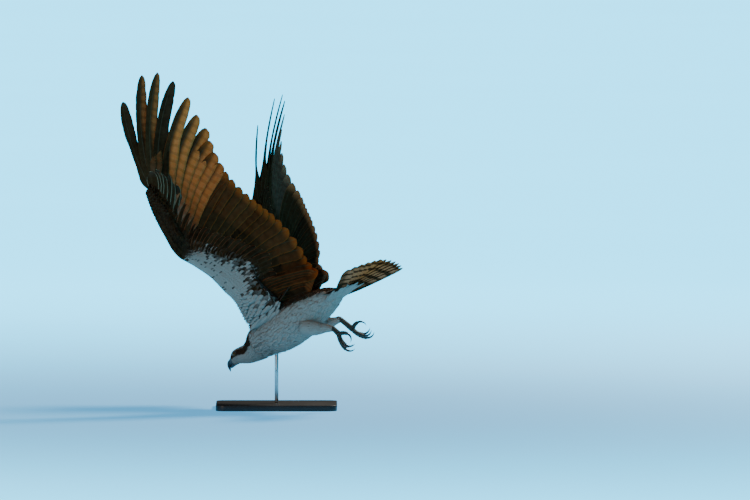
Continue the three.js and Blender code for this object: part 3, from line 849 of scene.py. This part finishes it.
def covert_row(side, start, length, width, count, marks, ends, long=True):
    """One row of coverts over the wing, starting that far behind the leading edge, or before the rear."""
    low, high = ends
    number = low + (high - low) * (np.arange(count) + 0.5 + chance.uniform(-0.2, 0.2, count)) / count
    share, shape = (COVERT_STATIONS, COVERT_WIDTHS) if long else (SMALL_STATIONS, SMALL_WIDTHS)
    shorter = 1 - 0.6 * smooth_step(20.5, 24, number)
    size = sized(length, number) * chance.uniform(0.92, 1.08, count) * shorter
    chord = np.linalg.norm(flesh_at(number)[:, 3:6] - flesh_at(number - slant(number))[:, :3], axis=-1)
    begin = np.where(start < 0, chord + start, chord * start)
    distance = begin[:, None] + size[:, None] * share
    line, span = wing_surface(number, distance, side, 0.5 + 1.3 * share[None] * np.ones((count, 1)))
    ahead = unit(np.gradient(line, axis=1))
    edge = unit(span - ahead * np.sum(span * ahead, -1, keepdims=True))
    edge = np.broadcast_to(edge, ahead.shape)
    face = unit(np.cross(edge, ahead)) * side
    edge = unit(edge + face * COVERT_TILT)
    face = unit(np.cross(edge, ahead)) * side
    wide = shape[None] * sized(width, number)[:, None]
    dark, barred, edged, warm = marks(number, begin / chord)
    seed = chance.random(count)
    mark = np.stack((dark, barred, edged, dark, barred, dark, dark * 0.3), axis=-1)
    kind = np.stack((seed, size / 100, warm, warm), axis=-1)
    bake = np.stack((number / 25, 0.5 + 0.2 * side + 0.15 * begin / chord * side), axis=-1)
    columns = 5 if long else 3
    return vanes(line, edge, face, wide * 0.45, wide * 0.55, columns, 0.3, wide * 0.06, bake, mark, kind)


def like(number, *values):
    """The same marks for a whole row."""
    return tuple(np.full(len(number), float(v)) for v in values)


def upper_marks(number, _):
    """Dark brown above, with paler edges of uneven strength."""
    dark, barred, edged, warm = like(number, 0.985, 0, 0.4, 0.4)
    return dark, barred, edged * chance.uniform(0.3, 1.2, len(number)), warm


def under_marks(number, back):
    """White lining of the arm, streaked toward the rear; black wrist and hand with pale tips."""
    hand = smooth_step(11.5, 13.5, number + chance.uniform(-0.6, 0.6, len(number)))
    streaked = chance.random(len(number)) < 0.05 + 0.85 * smooth_step(0.34, 0.62, back)
    arm = 0.05 + streaked * chance.uniform(0.45, 0.93, len(number))
    dark = arm * (1 - hand) + 0.97 * hand
    return dark, 0 * number, 0 * number, 0 * number + 0.1


def median_under_marks_and_shade(number, _):
    """Median coverts below, dark partly by their own colour and partly as painted shade, with pale tips on
    the hand.
    """
    hand = smooth_step(15, 17.5, number)
    return 0.985 + 0 * number, 0 * number, 0.3 - 0.15 * hand, 0.25 + 0 * number


def greater_under_marks_and_shade(number, _):
    """Greater coverts below, dark partly by their own colour and partly as painted shade, with pale tips on
    the hand.
    """
    hand = smooth_step(15, 17.5, number)
    return 0.985 + 0 * number, 0 * hand, 0.5 + 0.8 * hand, 0.6 - 0.5 * hand


def hand_length(arm, hand):
    """A length that changes from the arm to the hand."""
    return lambda number: arm + (hand - arm) * smooth_step(13, 17, number)


# Rows of lesser coverts: where they start along the chord, their length, and how many along the wing
LESSER_ROWS = [
    (0.78, 38, 50),
    (0.69, 33, 56),
    (0.60, 30, 62),
    (0.52, 27, 68),
    (0.44, 24, 74),
    (0.36, 21, 80),
    (0.29, 19, 86),
    (0.22, 17, 92),
    (0.16, 15, 98),
    (0.10, 13, 104),
    (0.05, 12, 110),
    (0.01, 10, 116),
]


# First and last feather number of the long rows above and below, and of the lesser rows
LONG_ABOVE = (-1.6, 22.6)
LONG_BELOW = (-1.6, 22.8)
LESSER = (-1.7, 23.6)


def lesser_coverts(side, marks):
    """All rows of lesser coverts above or below the wing."""
    return [
        covert_row(side, start, length, 0.6 * length, count, marks, LESSER, long=False)
        for start, length, count in LESSER_ROWS
    ]


def wing_coverts():
    """Rows of coverts of the left wing, above and below, from the rear row forward."""
    upper = [
        covert_row(1, -14, hand_length(86, 104), 27, 28, upper_marks, LONG_ABOVE),
        covert_row(1, -28, hand_length(58, 60), 23, 34, upper_marks, LONG_ABOVE),
        *lesser_coverts(1, upper_marks),
    ]
    under = [
        covert_row(-1, -14, hand_length(76, 104), hand_length(28, 34), 36, greater_under_marks_and_shade, LONG_BELOW),
        covert_row(-1, -28, hand_length(56, 72), hand_length(22, 24), 44, median_under_marks_and_shade, LONG_BELOW),
        *lesser_coverts(-1, under_marks),
    ]
    return gathered(upper), gathered(under)


# Feathers of the body


def body_point(x, angle, lift=0.0):
    """A point on the body at a station and an angle about it, and its outward direction."""
    middle, high, wide = body_at(x).T
    place = np.stack((x, (wide + lift) * np.cos(angle), middle + (high + lift) * np.sin(angle)), axis=-1)
    out = np.stack((np.zeros_like(x), np.cos(angle) / wide, np.sin(angle) / high), axis=-1)
    return place, unit(out)


def body_rows(front, back, step, gap, length, width, marks, base, rise, shaggy=0.12, bake_row=0.0):
    """Rows of small feathers round the body, lying back along it."""
    batches = []
    share = SMALL_STATIONS
    for k, x in enumerate(np.arange(front, back, -step)):
        _, tall, wide = body_at(np.array([x]))[0]
        count = max(int(2 * math.pi * (tall + wide) / 2 / gap), 6)
        order = np.arange(count) + 0.5 * (k % 2) + chance.uniform(-0.25, 0.25, count)
        angle = -math.pi + 2 * math.pi * order / count
        at = x + chance.uniform(-0.4, 0.4, count) * step
        size = sized(length, at, angle) * chance.uniform(0.85, 1.15, count)
        swing = chance.normal(0, shaggy, count)
        stand = base + rise * share[None] * chance.uniform(0.7, 1.5, (count, 1))
        lines, outs = [], []
        for j, s in enumerate(share):
            place, out = body_point(at - size * s, angle + swing * size * s / 60, stand[:, j])
            lines.append(place)
            outs.append(out)
        line, out = np.stack(lines, 1), np.stack(outs, 1)
        wide_at = SMALL_WIDTHS[None] * sized(width, at, angle)[:, None]
        dark, barred, edged, warm = marks(line[:, 1], angle)
        mark = np.stack((dark, barred, edged, dark, barred, dark, dark * 0), axis=-1)
        kind = np.stack((chance.random(count), size / 100, warm, warm), axis=-1)
        bake = np.stack(((at + 250) / 400, 0.1 + bake_row + 0.25 * (angle + math.pi) / 6.3), axis=-1)
        batches.append(lying_vanes(line, out, out * 0.12, wide_at, SMALL_VANE, bake, mark, kind))
    return batches


def trunk_marks(points, _):
    """Marks of the trunk's feathers, with a few streaks on the breast."""
    dark = body_marks(points)
    streak = (chance.random(len(dark)) < 0.10) * smooth_step(-30, 40, points[:, 0]) * (dark < 0.4)
    dark = np.clip(dark + streak * 0.5, 0, 1) * 0.95 + 0.02
    return dark, dark * 0, smooth_step(0.5, 0.9, dark) * chance.uniform(0.2, 1.0, len(dark)), dark * 0 + 0.05


def crown_marks(points, angle):
    """Marks of the feathers of head and neck, with spots on the crown."""
    dark = head_marks(points)
    spots = (chance.random(len(dark)) < 0.28) * smooth_step(0.3, 0.9, angle * (angle < 2.2)) * 0.8
    dark = np.clip(np.maximum(dark, spots), 0, 0.97)
    return dark, dark * 0, dark * 0.15, dark * 0 + 0.04


def trunk_length(x, angle):
    """Length of the trunk's feathers, longest at the rear and on the back."""
    return np.interp(x, (-225, -180, -60, 40, 80), (50, 36, 27, 22, 16)) * (1 + 0.15 * np.sin(angle))


def trunk_width(x, _):
    """Width of the trunk's feathers."""
    return np.interp(x, (-225, -60, 40, 80), (13, 10, 8.5, 6.5))


def head_length(x, _):
    """Length of the head's feathers, shortest at the bill."""
    return np.interp(x, (84, 110, 130), (12, 8, 4.5))


def head_width(x, _):
    """Width of the head's feathers."""
    return np.interp(x, (84, 110, 130), (3.2, 2.4, 1.7))


def body_coat():
    """Contour feathers of the trunk, and of neck and head."""
    trunk = body_rows(70, -232, 5.6, 6.6, trunk_length, trunk_width, trunk_marks, base=-3.5, rise=3.0)
    neck = body_rows(88, 56, 3.0, 3.3, 15, 4.6, crown_marks, base=-1.5, rise=2.0, shaggy=0.3, bake_row=0.3)
    head = body_rows(
        130.5, 86, 1.6, 2.0, head_length, head_width, crown_marks,
        base=-0.7, rise=1.0, shaggy=0.22, bake_row=0.3,
    )
    return gathered(trunk), gathered(neck + head)


def clear_of_eyes(batch):
    """Leave out small feathers that would cover an eye."""
    points, quads, uv, bake, mark, kind = batch
    tall = np.array((1, 1, 1.15))
    eyes = [np.array((EYE.x, side * EYE.y, EYE.z)) for side in (1, -1)]
    reach = [np.linalg.norm(points * tall - eye * tall, axis=1) for eye in eyes]
    covered = np.minimum(*reach) < EYE_RADIUS + 0.5
    each = len(SMALL_STATIONS) * 2 * SMALL_VANE[0]
    hidden = covered.reshape(-1, each).any(axis=1)
    keep = np.repeat(~hidden, each)
    renumber = np.cumsum(keep) - 1
    kept = keep[quads].all(axis=1)
    return [points[keep], renumber[quads[kept]], uv[keep], bake[keep], mark[keep], kind[keep]]


def limb_coat(leg):
    """Short loose feathers of a thigh."""
    knee, ankle = np.array(leg["knee"], float), np.array(leg["ankle"], float)
    down = unit(ankle - knee)
    side = unit(np.cross(down, (0, 1, 0)))
    other = np.cross(down, side)
    share = SMALL_STATIONS
    batches = []
    for k, at in enumerate(np.linspace(0.0, 0.93, 18)):
        radius = np.interp(at, (0, 0.33, 0.66, 1), (22, 21, 14, 8.5))
        count = max(int(2 * math.pi * radius / 5), 7)
        angle = 2 * math.pi * (np.arange(count) + 0.5 * (k % 2) + chance.uniform(-0.2, 0.2, count)) / count
        size = np.interp(at, (0, 0.8, 1), (30, 19, 12)) * chance.uniform(0.85, 1.15, count)
        out = np.cos(angle)[:, None] * side + np.sin(angle)[:, None] * other
        start = knee + (ankle - knee) * at + out * (radius - 2.5)
        narrow = np.interp(at, (0, 0.5, 1), (0.05, 0.22, 0.12))
        run = size[:, None] * share
        out = out[:, None]
        line = start[:, None] + down * run[..., None] - out * (run * narrow)[..., None]
        line = line + out * (2.2 * share)[None, :, None]
        wide = 8.0 * SMALL_WIDTHS[None] * np.ones((count, 1))
        mark = np.tile((0.03, 0, 0, 0.03, 0, 0.03, 0), (count, 1))
        kind = np.stack((chance.random(count), size / 100, size * 0 + 0.04, size * 0 + 0.04), axis=-1)
        bake = np.stack((0.7 + 0.12 * at + 0 * angle, 0.42 + 0.06 * angle / 6.3), axis=-1)
        batches.append(lying_vanes(line, out, out * 0.12, wide, SMALL_VANE, bake, mark, kind))
    return gathered(batches)


# Tail, shoulders and armpits


def tail_feathers():
    """The fan of tail feathers, the middle pair on top."""
    stations = 40
    share = np.linspace(0, 1, stations)
    batches = []
    half = (TAIL_FEATHERS - 1) / 2
    for i in range(TAIL_FEATHERS):
        place = i - half
        out = place / half
        turn = TAIL_TURN + TAIL_SPREAD * out
        length = TAIL_LENGTH * (1 - 0.06 * out * out)
        along = np.array((-math.cos(turn), math.sin(turn), 0))
        outer = np.array((-math.sin(turn), -math.cos(turn), 0)) * -np.sign(out)
        stack = -TAIL_STEP * abs(place) + (TAIL_STEP / 2 if out > 0 else 0)
        root = TAIL_ROOT + (0, 14 * out, 4 + stack)
        line = root + along * (share * length)[:, None] + np.outer(TAIL_RISE * share**2, (0, 0, 1))
        edge = np.broadcast_to(outer, line.shape)
        face = np.broadcast_to((0.0, 0.0, 1.0), line.shape)
        lead, trail = outline(share, ROUND_VANE, 13), outline(share, ROUND_VANE, 23)
        fray = split_edges(stations)
        middle = abs(out) < 0.15
        # Below, the tail is darkened partly as painted shade and warmed to orange as painted glow of light
        # shining through it
        mark = (0.93 if middle else 0.8, 0.9, 0.5, 0.22, 1.0, 0.7, 0.8)
        kind = (0.4 * chance.random(), length / TAIL_BARS, 0.3, 1.0 - 0.2 * abs(out))
        batches.append(
            vanes(
                line[None], edge[None], face[None], lead[None], trail[None], 9, 0.55,
                np.full((1, stations), 0.8), np.array([[i / TAIL_FEATHERS, 0.48]]),
                np.array([mark]), np.array([kind]), fray,
            )
        )
    return gathered(batches)


def tail_coverts():
    """Loose coverts over and under the root of the tail."""
    share = COVERT_STATIONS
    batches = []
    for above in (1, -1):
        for tier, (start, length, count, wide) in enumerate(TAIL_TIERS):
            out = np.linspace(-1, 1, count) + chance.uniform(-0.05, 0.05, count)
            turn = TAIL_TURN * 0.75 + TAIL_SPREAD * out * 0.62 + chance.normal(0, 0.05, count)
            size = length * (1 - 0.12 * out**2) * chance.uniform(0.88, 1.08, count)
            along = np.stack((-np.cos(turn), np.sin(turn), 0 * turn), axis=-1)
            rise = above * (8 + 2.6 * tier - 4 * out**2) - 1
            root = TAIL_ROOT + np.stack((start + 4 + 0 * out, (13 + 2 * tier) * out, rise), axis=-1)
            line = root[:, None] + along[:, None] * (size[:, None] * share)[..., None]
            sink = (2.0 + 2.2 * tier) * share * (0.4 + share)
            line[..., 2] -= above * (sink - chance.random((count, 1)) * share)
            width = COVERT_WIDTHS[None] * wide * np.ones((count, 1))
            dark = np.full(count, 0.85 if above > 0 else 0.04)
            barred = np.full(count, 0.4 if above > 0 else 0.0)
            mark = np.stack((dark, barred, dark * 0.6, dark, barred, dark, dark * 0), axis=-1)
            kind = np.stack((chance.random(count), size / 100, dark * 0 + 0.05, dark * 0 + 0.05), axis=-1)
            bake = np.stack((0.3 + 0.1 * out, 0.44 + 0.01 * tier + 0.03 * above + 0 * out), axis=-1)
            tilt = np.array((0, 0, 0.1))
            batches.append(lying_vanes(line, (0, 0, above), tilt, width, LONG_VANE, bake, mark, kind))
    return gathered(batches)


def scapulars():
    """Long brown feathers of the shoulders, from the back over the roots of the wings."""
    share = COVERT_STATIONS
    batches = []
    for side in (1, -1):
        for tier, (x0, length) in enumerate(((-40, 92), (-18, 80), (0, 66), (18, 52), (34, 40))):
            count = 9
            t = (np.arange(count) + chance.uniform(0.2, 0.8, count)) / count
            angle = np.interp(t, (0, 1), (1.45, 0.8))
            start, out = body_point(np.full(count, float(x0)) - 10 * t, angle, 1.0)
            size = length * chance.uniform(0.9, 1.1, count)
            along = unit(np.stack((-np.ones(count), 0.10 * t, 0.12 + 0.35 * t), axis=-1))
            line = start[:, None] + along[:, None] * (size[:, None] * share)[..., None]
            out = out[:, None]
            line = line + out * (5 * share - 4 * share**2)[None, :, None]
            wide = (20.0 - 1.5 * tier) * COVERT_WIDTHS[None] * np.ones((count, 1))
            mark = np.tile((0.93, 0, 0.5, 0.9, 0, 0.9, 0), (count, 1))
            kind = np.stack((chance.random(count), size / 100, size * 0, size * 0), axis=-1)
            bake = np.stack((0.5 + (x0 + 0 * t) / 400, 0.3 + 0.04 * t), axis=-1)
            batch = lying_vanes(line, out, out * 0.1, wide, LONG_VANE, bake, mark, kind)
            batches.append(batch if side > 0 else other_side(batch))
    return gathered(batches)


def axillars():
    """White feathers of the armpits, fanned from the flank under the root of the wing."""
    share = COVERT_STATIONS
    batches = []
    for tier, (lift, length) in enumerate(((0, 66), (-6, 54), (-12, 42))):
        count = 18
        t = (np.arange(count) + chance.uniform(0.2, 0.8, count)) / count
        start = np.stack((24 - 62 * t, 50 + 14 * (1 - t), lift + 4 * t - 6), axis=-1)
        along = unit(np.stack((-np.ones(count), 0.10 + 0.05 * t, 0.34 - 0.1 * t), axis=-1))
        size = length * chance.uniform(0.7, 1.1, count)
        line = start[:, None] + along[:, None] * (size[:, None] * share)[..., None]
        line[..., 1] += 6 * share * (1 - share) + chance.uniform(-1, 2, (count, 1))
        wide = 10.0 * COVERT_WIDTHS[None] * np.ones((count, 1))
        streak = (chance.random(count) < 0.45) * 0.75 * (tier < 2)
        mark = np.stack((streak, 0 * t, 0 * t, streak, 0 * t, streak, 0 * t), axis=-1) + 0.03
        kind = np.stack((chance.random(count), size / 100, 0 * t + 0.05, 0 * t + 0.05), axis=-1)
        bake = np.stack((0.55 + 0.1 * t, 0.38 + 0.01 * tier + 0 * t), axis=-1)
        tilt = np.array((0, 0.1, 0))
        batch = lying_vanes(line, (0, 1.0, -0.35), tilt, wide, LONG_VANE, bake, mark, kind)
        batches += [batch, other_side(batch)]
    return gathered(batches)


# Flesh, bill, eyes and feet


def skin_mesh():
    """One skin over trunk, neck, head, thighs, tail root and wings, just under the coat."""
    bm = bmesh.new()
    stations = []
    for x in np.linspace(-246, 130, 60):
        middle, high, wide = body_at(np.array([x]))[0]
        depth = np.interp(x, (-230, 40, 90, 130), (4.5, 4.5, 1.2, 0.8))
        stations.append((Vector((x, 0, middle)), (0, wide - depth, 0), (0, 0, high - depth)))
    rings(bm, stations, 40)
    for leg in LEGS.values():
        knee, ankle = Vector(leg["knee"]), Vector(leg["ankle"])
        line = [knee, knee.lerp(ankle, 0.5) + Vector((0, 0, -3)), ankle]
        rings(bm, limb_rings(line, (19, 19, 12, 6), 14), 20)
    for side in (1, -1):
        stations = []
        for number in np.linspace(-2, 23.2, 40):
            row = flesh_at(np.array([number]))[0]
            front, back, thick = Vector(row[:3]), Vector(row[3:6]), row[6]
            ahead, behind = flesh_at(np.array([number + 0.5]))[0], flesh_at(np.array([number - 0.5]))[0]
            span = Vector(ahead[:3] + ahead[3:6] - behind[:3] - behind[3:6])
            up = span.cross(back - front).normalized() * (thick * 0.72)
            centre = (front + back) / 2
            reach = (front - back) / 2 * 0.96
            mirror = Vector((1, side, 1))
            stations.append((centre * mirror, reach * mirror, up * mirror))
        rings(bm, stations, 24)
        brow = Matrix.Translation((EYE.x - 0.5, side * (EYE.y + 1.2), EYE.z + 7.6))
        brow = brow @ Matrix.Diagonal((9.5, 3.4, 2.4, 1))
        bmesh.ops.create_uvsphere(bm, u_segments=20, v_segments=12, radius=1, matrix=brow)
    bmesh.ops.recalc_face_normals(bm, faces=bm.faces)
    mesh = bpy.data.meshes.new("skin_parts")
    bm.to_mesh(mesh)
    bm.free()
    parts = bpy.data.objects.new("skin_parts", mesh)
    bpy.context.scene.collection.objects.link(parts)
    union = parts.modifiers.new("union", "REMESH")
    union.mode, union.voxel_size = "VOXEL", 2.6
    relax = parts.modifiers.new("relax", "SMOOTH")
    relax.factor, relax.iterations = 0.5, 3
    seen = parts.evaluated_get(bpy.context.evaluated_depsgraph_get())
    skin = bpy.data.meshes.new_from_object(seen)
    bpy.data.objects.remove(parts)
    mark_skin(skin)
    skin.transform(POSE)
    skin.shade_smooth()
    return skin


def mark_skin(skin):
    """Give the skin the coat's markings and its places in the coat's baked picture."""
    points = np.zeros(len(skin.vertices) * 3)
    skin.vertices.foreach_get("co", points)
    points = points.reshape(-1, 3)
    dark = body_marks(points)
    x, y, z = points.T
    wing = np.abs(y) > 62
    number = np.clip(np.interp(np.abs(y) + z * 0.5, (90, 440), (0, 24)), 0, 24)
    level = np.interp(np.abs(y), (50, 115, 186, 257, 290), (10, 100, 150, 210, 300))
    dark = np.where(wing, np.where((z > level) | (x < -36), 1.0, 0.08), dark)
    marks = np.stack((dark, dark * 0, dark * 0, np.ones_like(dark)), axis=-1)
    layer = skin.attributes.new("Mark", "FLOAT_COLOR", "POINT")
    layer.data.foreach_set("color", marks.astype(np.float32).ravel())
    bake = skin.uv_layers.new(name="OFBake")
    corner = np.zeros(len(skin.loops), np.int32)
    skin.loops.foreach_get("vertex_index", corner)
    angle = np.arctan2(z + 40, y)
    on_wing = np.stack((number / 25, 0.5 + 0.3 * np.sign(z - level)), axis=-1)
    on_body = np.stack(((x + 250) / 400, 0.1 + 0.25 * (angle + math.pi) / 6.3), axis=-1)
    flat = np.where(wing[:, None], on_wing, on_body)
    bake.data.foreach_set("uv", flat[corner].astype(np.float32).ravel())


def bill_half(table, steps):
    """Half of the bill, as rings between its ridge and its cutting edge."""
    bm = bmesh.new()
    smooth = between([(i, *ridge, *edge, wide) for i, (ridge, edge, wide) in enumerate(table)])
    stations = []
    for row in smooth(np.linspace(0, len(table) - 1, steps)):
        ridge, edge, wide = Vector((row[0], 0, row[1])), Vector((row[2], 0, row[3])), max(row[4], 0.3)
        stations.append(((ridge + edge) / 2, (0, wide, 0), (ridge - edge) / 2))
    rings(bm, stations, 72)
    cere = bm.verts.layers.float.new("Cere")
    for v in bm.verts:
        v[cere] = float(1 - smooth_step(135, 138.5, v.co.x + 0.25 * (v.co.z + 45)))
        slit = v.co - Vector((NOSTRIL.x, math.copysign(NOSTRIL.y, v.co.y), NOSTRIL.z))
        along, up = slit.x * 0.75 - slit.z * 0.66, slit.x * 0.66 + slit.z * 0.75
        v.co.y -= math.copysign(1.5 * math.exp(-((along / 0.95) ** 2) - (up / 2.1) ** 2), v.co.y)
    return bm


def toe_line(leg, toe, name):
    """The bent line of a toe and of its claw."""
    reach = Vector(leg["reach"]).normalized()
    palm = Vector(leg["palm"])
    palm = (palm - reach * palm.dot(reach)).normalized()
    across = reach.cross(palm)
    splay = math.radians(toe["splay"])
    begin = leg["hind"] if name == "hind" else 0

    def heading(bend):
        flat = reach * math.cos(splay) + across * math.sin(splay)
        return flat * math.cos(math.radians(bend)) + palm * math.sin(math.radians(bend))

    steps = 6
    line = [Vector(leg["toes"])]
    for i in range(steps):
        line.append(line[-1] + heading(begin + toe["curl"] * i / steps) * (toe["length"] / steps))
    last = heading(begin + toe["curl"])
    line.append(line[-1] + last)
    claw = [line[-1] - last * 1.5]
    claw.append(claw[0] + last * 2.5)
    for i in range(steps):
        bend = begin + toe["curl"] + math.copysign(96, toe["curl"]) * (i + 0.5) / steps
        claw.append(claw[-1] + heading(bend) * (toe["claw"] / steps))
    return line, claw


def foot_mesh(side):
    """Shank and toes of a foot."""
    leg = LEGS[side]
    bm = bmesh.new()
    ankle, toes = Vector(leg["ankle"]), Vector(leg["toes"])
    down = (ankle - Vector(leg["knee"])).normalized()
    rings(bm, limb_rings([ankle - down * 4, ankle + down * 7, toes], (7.9, 7.2, 6.7, 7.7), 22), 20)
    for name, toe in TOES.items():
        line, _ = toe_line(leg, toe, name)
        stations = limb_rings(line, (6.6, 6.0, 5.6, 5.3, 5.1, 4.7, 4.1), 24)
        for k, (place, first, second) in enumerate(stations):
            swell = 1 + 0.06 * math.cos(k * 1.6)
            stations[k] = (place, first * swell, second * swell)
        rings(bm, stations, 16)
    return worked("foot_" + side, bm)


def claw_mesh(side, name):
    """One claw."""
    bm = bmesh.new()
    _, line = toe_line(LEGS[side], TOES[name], name)
    rings(bm, limb_rings(line, (3.4, 3.2, 2.8, 2.3, 1.7, 1.0, 0.2), 22), 14)
    return worked("claw_" + name + "_" + side, bm)


def eye_place(side, ahead=0.0):
    """The turn and place of an eye that looks out, moved that far along its gaze."""
    gaze = Vector((0.25, side, 0.02)).normalized()
    turn = gaze.to_track_quat("Z", "Y").to_matrix().to_4x4()
    turn.translation = Vector((EYE.x, side * EYE.y, EYE.z)) + gaze * ahead
    return turn


def eye_mesh(side):
    """An eyeball whose pole looks out."""
    bm = bmesh.new()
    bmesh.ops.create_uvsphere(
        bm, u_segments=48, v_segments=32, radius=EYE_RADIUS, matrix=eye_place(side), calc_uvs=True
    )
    return worked("eye", bm)


def lid_mesh(side):
    """The dark rim of skin round an eye."""
    bm = bmesh.new()
    start = Matrix.Translation((6.5, 0, 0)) @ Matrix.Rotation(math.pi / 2, 4, "X")
    made = bmesh.ops.create_circle(bm, segments=12, radius=1.15, matrix=start)
    edges = list({e for v in made["verts"] for e in v.link_edges})
    bmesh.ops.spin(
        bm, geom=made["verts"] + edges, cent=(0, 0, 0), axis=(0, 0, 1),
        angle=2 * math.pi, steps=40, use_merge=True,
    )
    bm.transform(eye_place(side, 3.4))
    return worked("lid", bm)


def stand_mesh(name):
    """A copy of a node of the stand, with softened edges."""
    bm = bmesh.new()
    bm.from_mesh(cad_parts[name].data)
    bmesh.ops.remove_doubles(bm, verts=bm.verts, dist=1e-6)
    bmesh.ops.dissolve_limit(bm, angle_limit=math.radians(1), verts=bm.verts, edges=bm.edges)
    sharp = [e for e in bm.edges if len(e.link_faces) == 2 and e.calc_face_angle() > math.radians(40)]
    bmesh.ops.bevel(bm, geom=sharp, offset=0.0012, segments=3, profile=0.5, affect="EDGES", material=-1)
    return worked(name, bm, posed=False)


plumage = feather_finish()
shown(
    "skin", skin_mesh(), skin_finish(), "white_plumage",
    "torso", "neck", "head", "thigh_left", "thigh_right",
)

wing_flight = flight_feathers()
wing_upper, wing_under = wing_coverts()
for side in ("left", "right"):
    flight, upper, under = (
        batch if side == "left" else other_side(batch) for batch in (wing_flight, wing_upper, wing_under)
    )
    shown("flight_feathers_" + side, mesh_from("flight", *flight), plumage, "wing_plumage", "wing_" + side)
    shown("wing_coverts_upper_" + side, mesh_from("coverts", *upper), plumage, "wing_plumage")
    shown("wing_coverts_under_" + side, mesh_from("coverts", *under), plumage, "wing_plumage")

trunk_coat, head_coat = body_coat()
shown("trunk_feathers", mesh_from("trunk_feathers", *trunk_coat), plumage, "white_plumage")
shown("head_feathers", mesh_from("head_feathers", *clear_of_eyes(head_coat)), plumage, "white_plumage")
shown("shoulder_feathers", mesh_from("shoulder_feathers", *scapulars()), plumage, "wing_plumage")
shown("armpit_feathers", mesh_from("armpit_feathers", *axillars()), plumage, "white_plumage")
shown("tail_feathers", mesh_from("tail_feathers", *tail_feathers()), plumage, "tail_plumage", "tail")
shown("tail_coverts", mesh_from("tail_coverts", *tail_coverts()), plumage, "white_plumage")
for side, leg in LEGS.items():
    shown("thigh_feathers_" + side, mesh_from("thigh_feathers", *limb_coat(leg)), plumage, "white_plumage")

black_horn = horn_finish("black_horn", shade(0.010, 0.010, 0.012), shade(0.035, 0.035, 0.042))
scales = scale_finish()
iris = eye_finish()
lid_skin = horn_finish("lid_skin", shade(0.02, 0.02, 0.022), shade(0.05, 0.05, 0.055))
bill_horn = bill_finish()
shown("bill_top", worked("bill_top", bill_half(BILL_UPPER, 96)), bill_horn, "horn", "bill_upper")
shown("bill_bottom", worked("bill_bottom", bill_half(BILL_LOWER, 36)), bill_horn, "horn", "bill_lower")
for side, sign in (("left", 1), ("right", -1)):
    shown("eyeball_" + side, eye_mesh(sign), iris, "eye", "eye_" + side)
    shown("eyelid_" + side, lid_mesh(sign), lid_skin, "horn")
    shown("scaled_foot_" + side, foot_mesh(side), scales, "foot_skin", "foot_" + side)
    for name in TOES:
        shown(f"horn_claw_{name}_{side}", claw_mesh(side, name), black_horn, "horn", f"claw_{name}_{side}")

ebony = stand_finish("stand_paint", shade(0.012, 0.012, 0.012), shade(0.03, 0.03, 0.03), 0.0, 0.42)
steel = stand_finish("stand_metal", shade(0.45, 0.46, 0.47), shade(0.62, 0.62, 0.63), 1.0, 0.3)
shown("base_plate", stand_mesh("stand_base"), ebony, "stand_black", "stand_base")
shown("support_rod", stand_mesh("stand_rod"), steel, "stand_steel", "stand_rod")


# Room, light and camera


def backdrop():
    """A wide pale floor, brighter away from the stand."""
    bm = bmesh.new()
    bmesh.ops.create_circle(bm, segments=96, radius=90, cap_ends=True)
    mesh = worked("floor", bm, posed=False)
    f = Finish("floor_paper", Roughness=0.95, Emission_Strength=1.0, Specular_IOR_Level=0.0)
    away = f.node("ShaderNodeVectorMath", {"operation": "LENGTH"}, out="Value", Vector=f.place())
    cloud = f.noise(0.6, 2.0)
    far = away.rise(0.2, 6.0) * (0.94 + cloud * 0.06)
    f.paint("Base Color", f.mix(cloud, shade(0.20, 0.46, 0.72), shade(0.22, 0.48, 0.74)))
    f.paint("Emission Color", f.mix(far, shade(0.08, 0.45, 0.86), shade(0.14, 2.65, 4.3)))
    mesh.materials.append(f.material)
    made = bpy.data.objects.new("floor", mesh)
    bpy.context.scene.collection.objects.link(made)


def lamp(name, place, aim, power, size, tint):
    """A large soft lamp."""
    light = bpy.data.lights.new(name, "AREA")
    light.energy, light.shape, light.size, light.color = power, "DISK", size, tint
    made = bpy.data.objects.new(name, light)
    made.location = place
    made.rotation_euler = (Vector(aim) - Vector(place)).to_track_quat("-Z", "Y").to_euler()
    bpy.context.scene.collection.objects.link(made)


backdrop()
middle = Vector((0.1, 0, 0.45))
lamp("key", (2.6, 2.4, 3.6), middle, power=320, size=1.2, tint=(1.0, 0.90, 0.78))
lamp("fill", (-2.4, -3.6, 1.4), middle, power=42, size=2.0, tint=(1.0, 0.74, 0.52))
world = bpy.data.worlds.new("soft_room")
world.use_nodes = True
world.node_tree.nodes["Background"].inputs["Color"].default_value = shade(0.80, 0.90, 1.0)
world.node_tree.nodes["Background"].inputs["Strength"].default_value = 0.05
bpy.context.scene.world = world

# The view: pixels of a picture this wide for each millimetre, and from the shoulders to its middle
PICTURE_WIDTH = 750
SCALE_IN_VIEW = 0.378
RIGHT_OF_SHOULDERS = 109
ABOVE_SHOULDERS = 73
DISTANCE = 40.0
SENSOR = 36
rise, run = math.sin(VIEW_HEIGHT), math.cos(VIEW_HEIGHT)
to_middle = Vector((RIGHT_OF_SHOULDERS, ABOVE_SHOULDERS * rise, ABOVE_SHOULDERS * run))
aim = SHOULDERS * MM + to_middle * MM / SCALE_IN_VIEW
lens = bpy.data.cameras.new("camera")
lens.sensor_width = SENSOR
lens.lens = SENSOR * DISTANCE / (PICTURE_WIDTH / SCALE_IN_VIEW * MM)
lens.clip_end = 200
camera = bpy.data.objects.new("camera", lens)
camera.location = aim + Vector((0, -run, rise)) * DISTANCE
camera.rotation_euler = (math.pi / 2 - VIEW_HEIGHT, 0, 0)
bpy.context.scene.collection.objects.link(camera)
bpy.context.scene.camera = camera
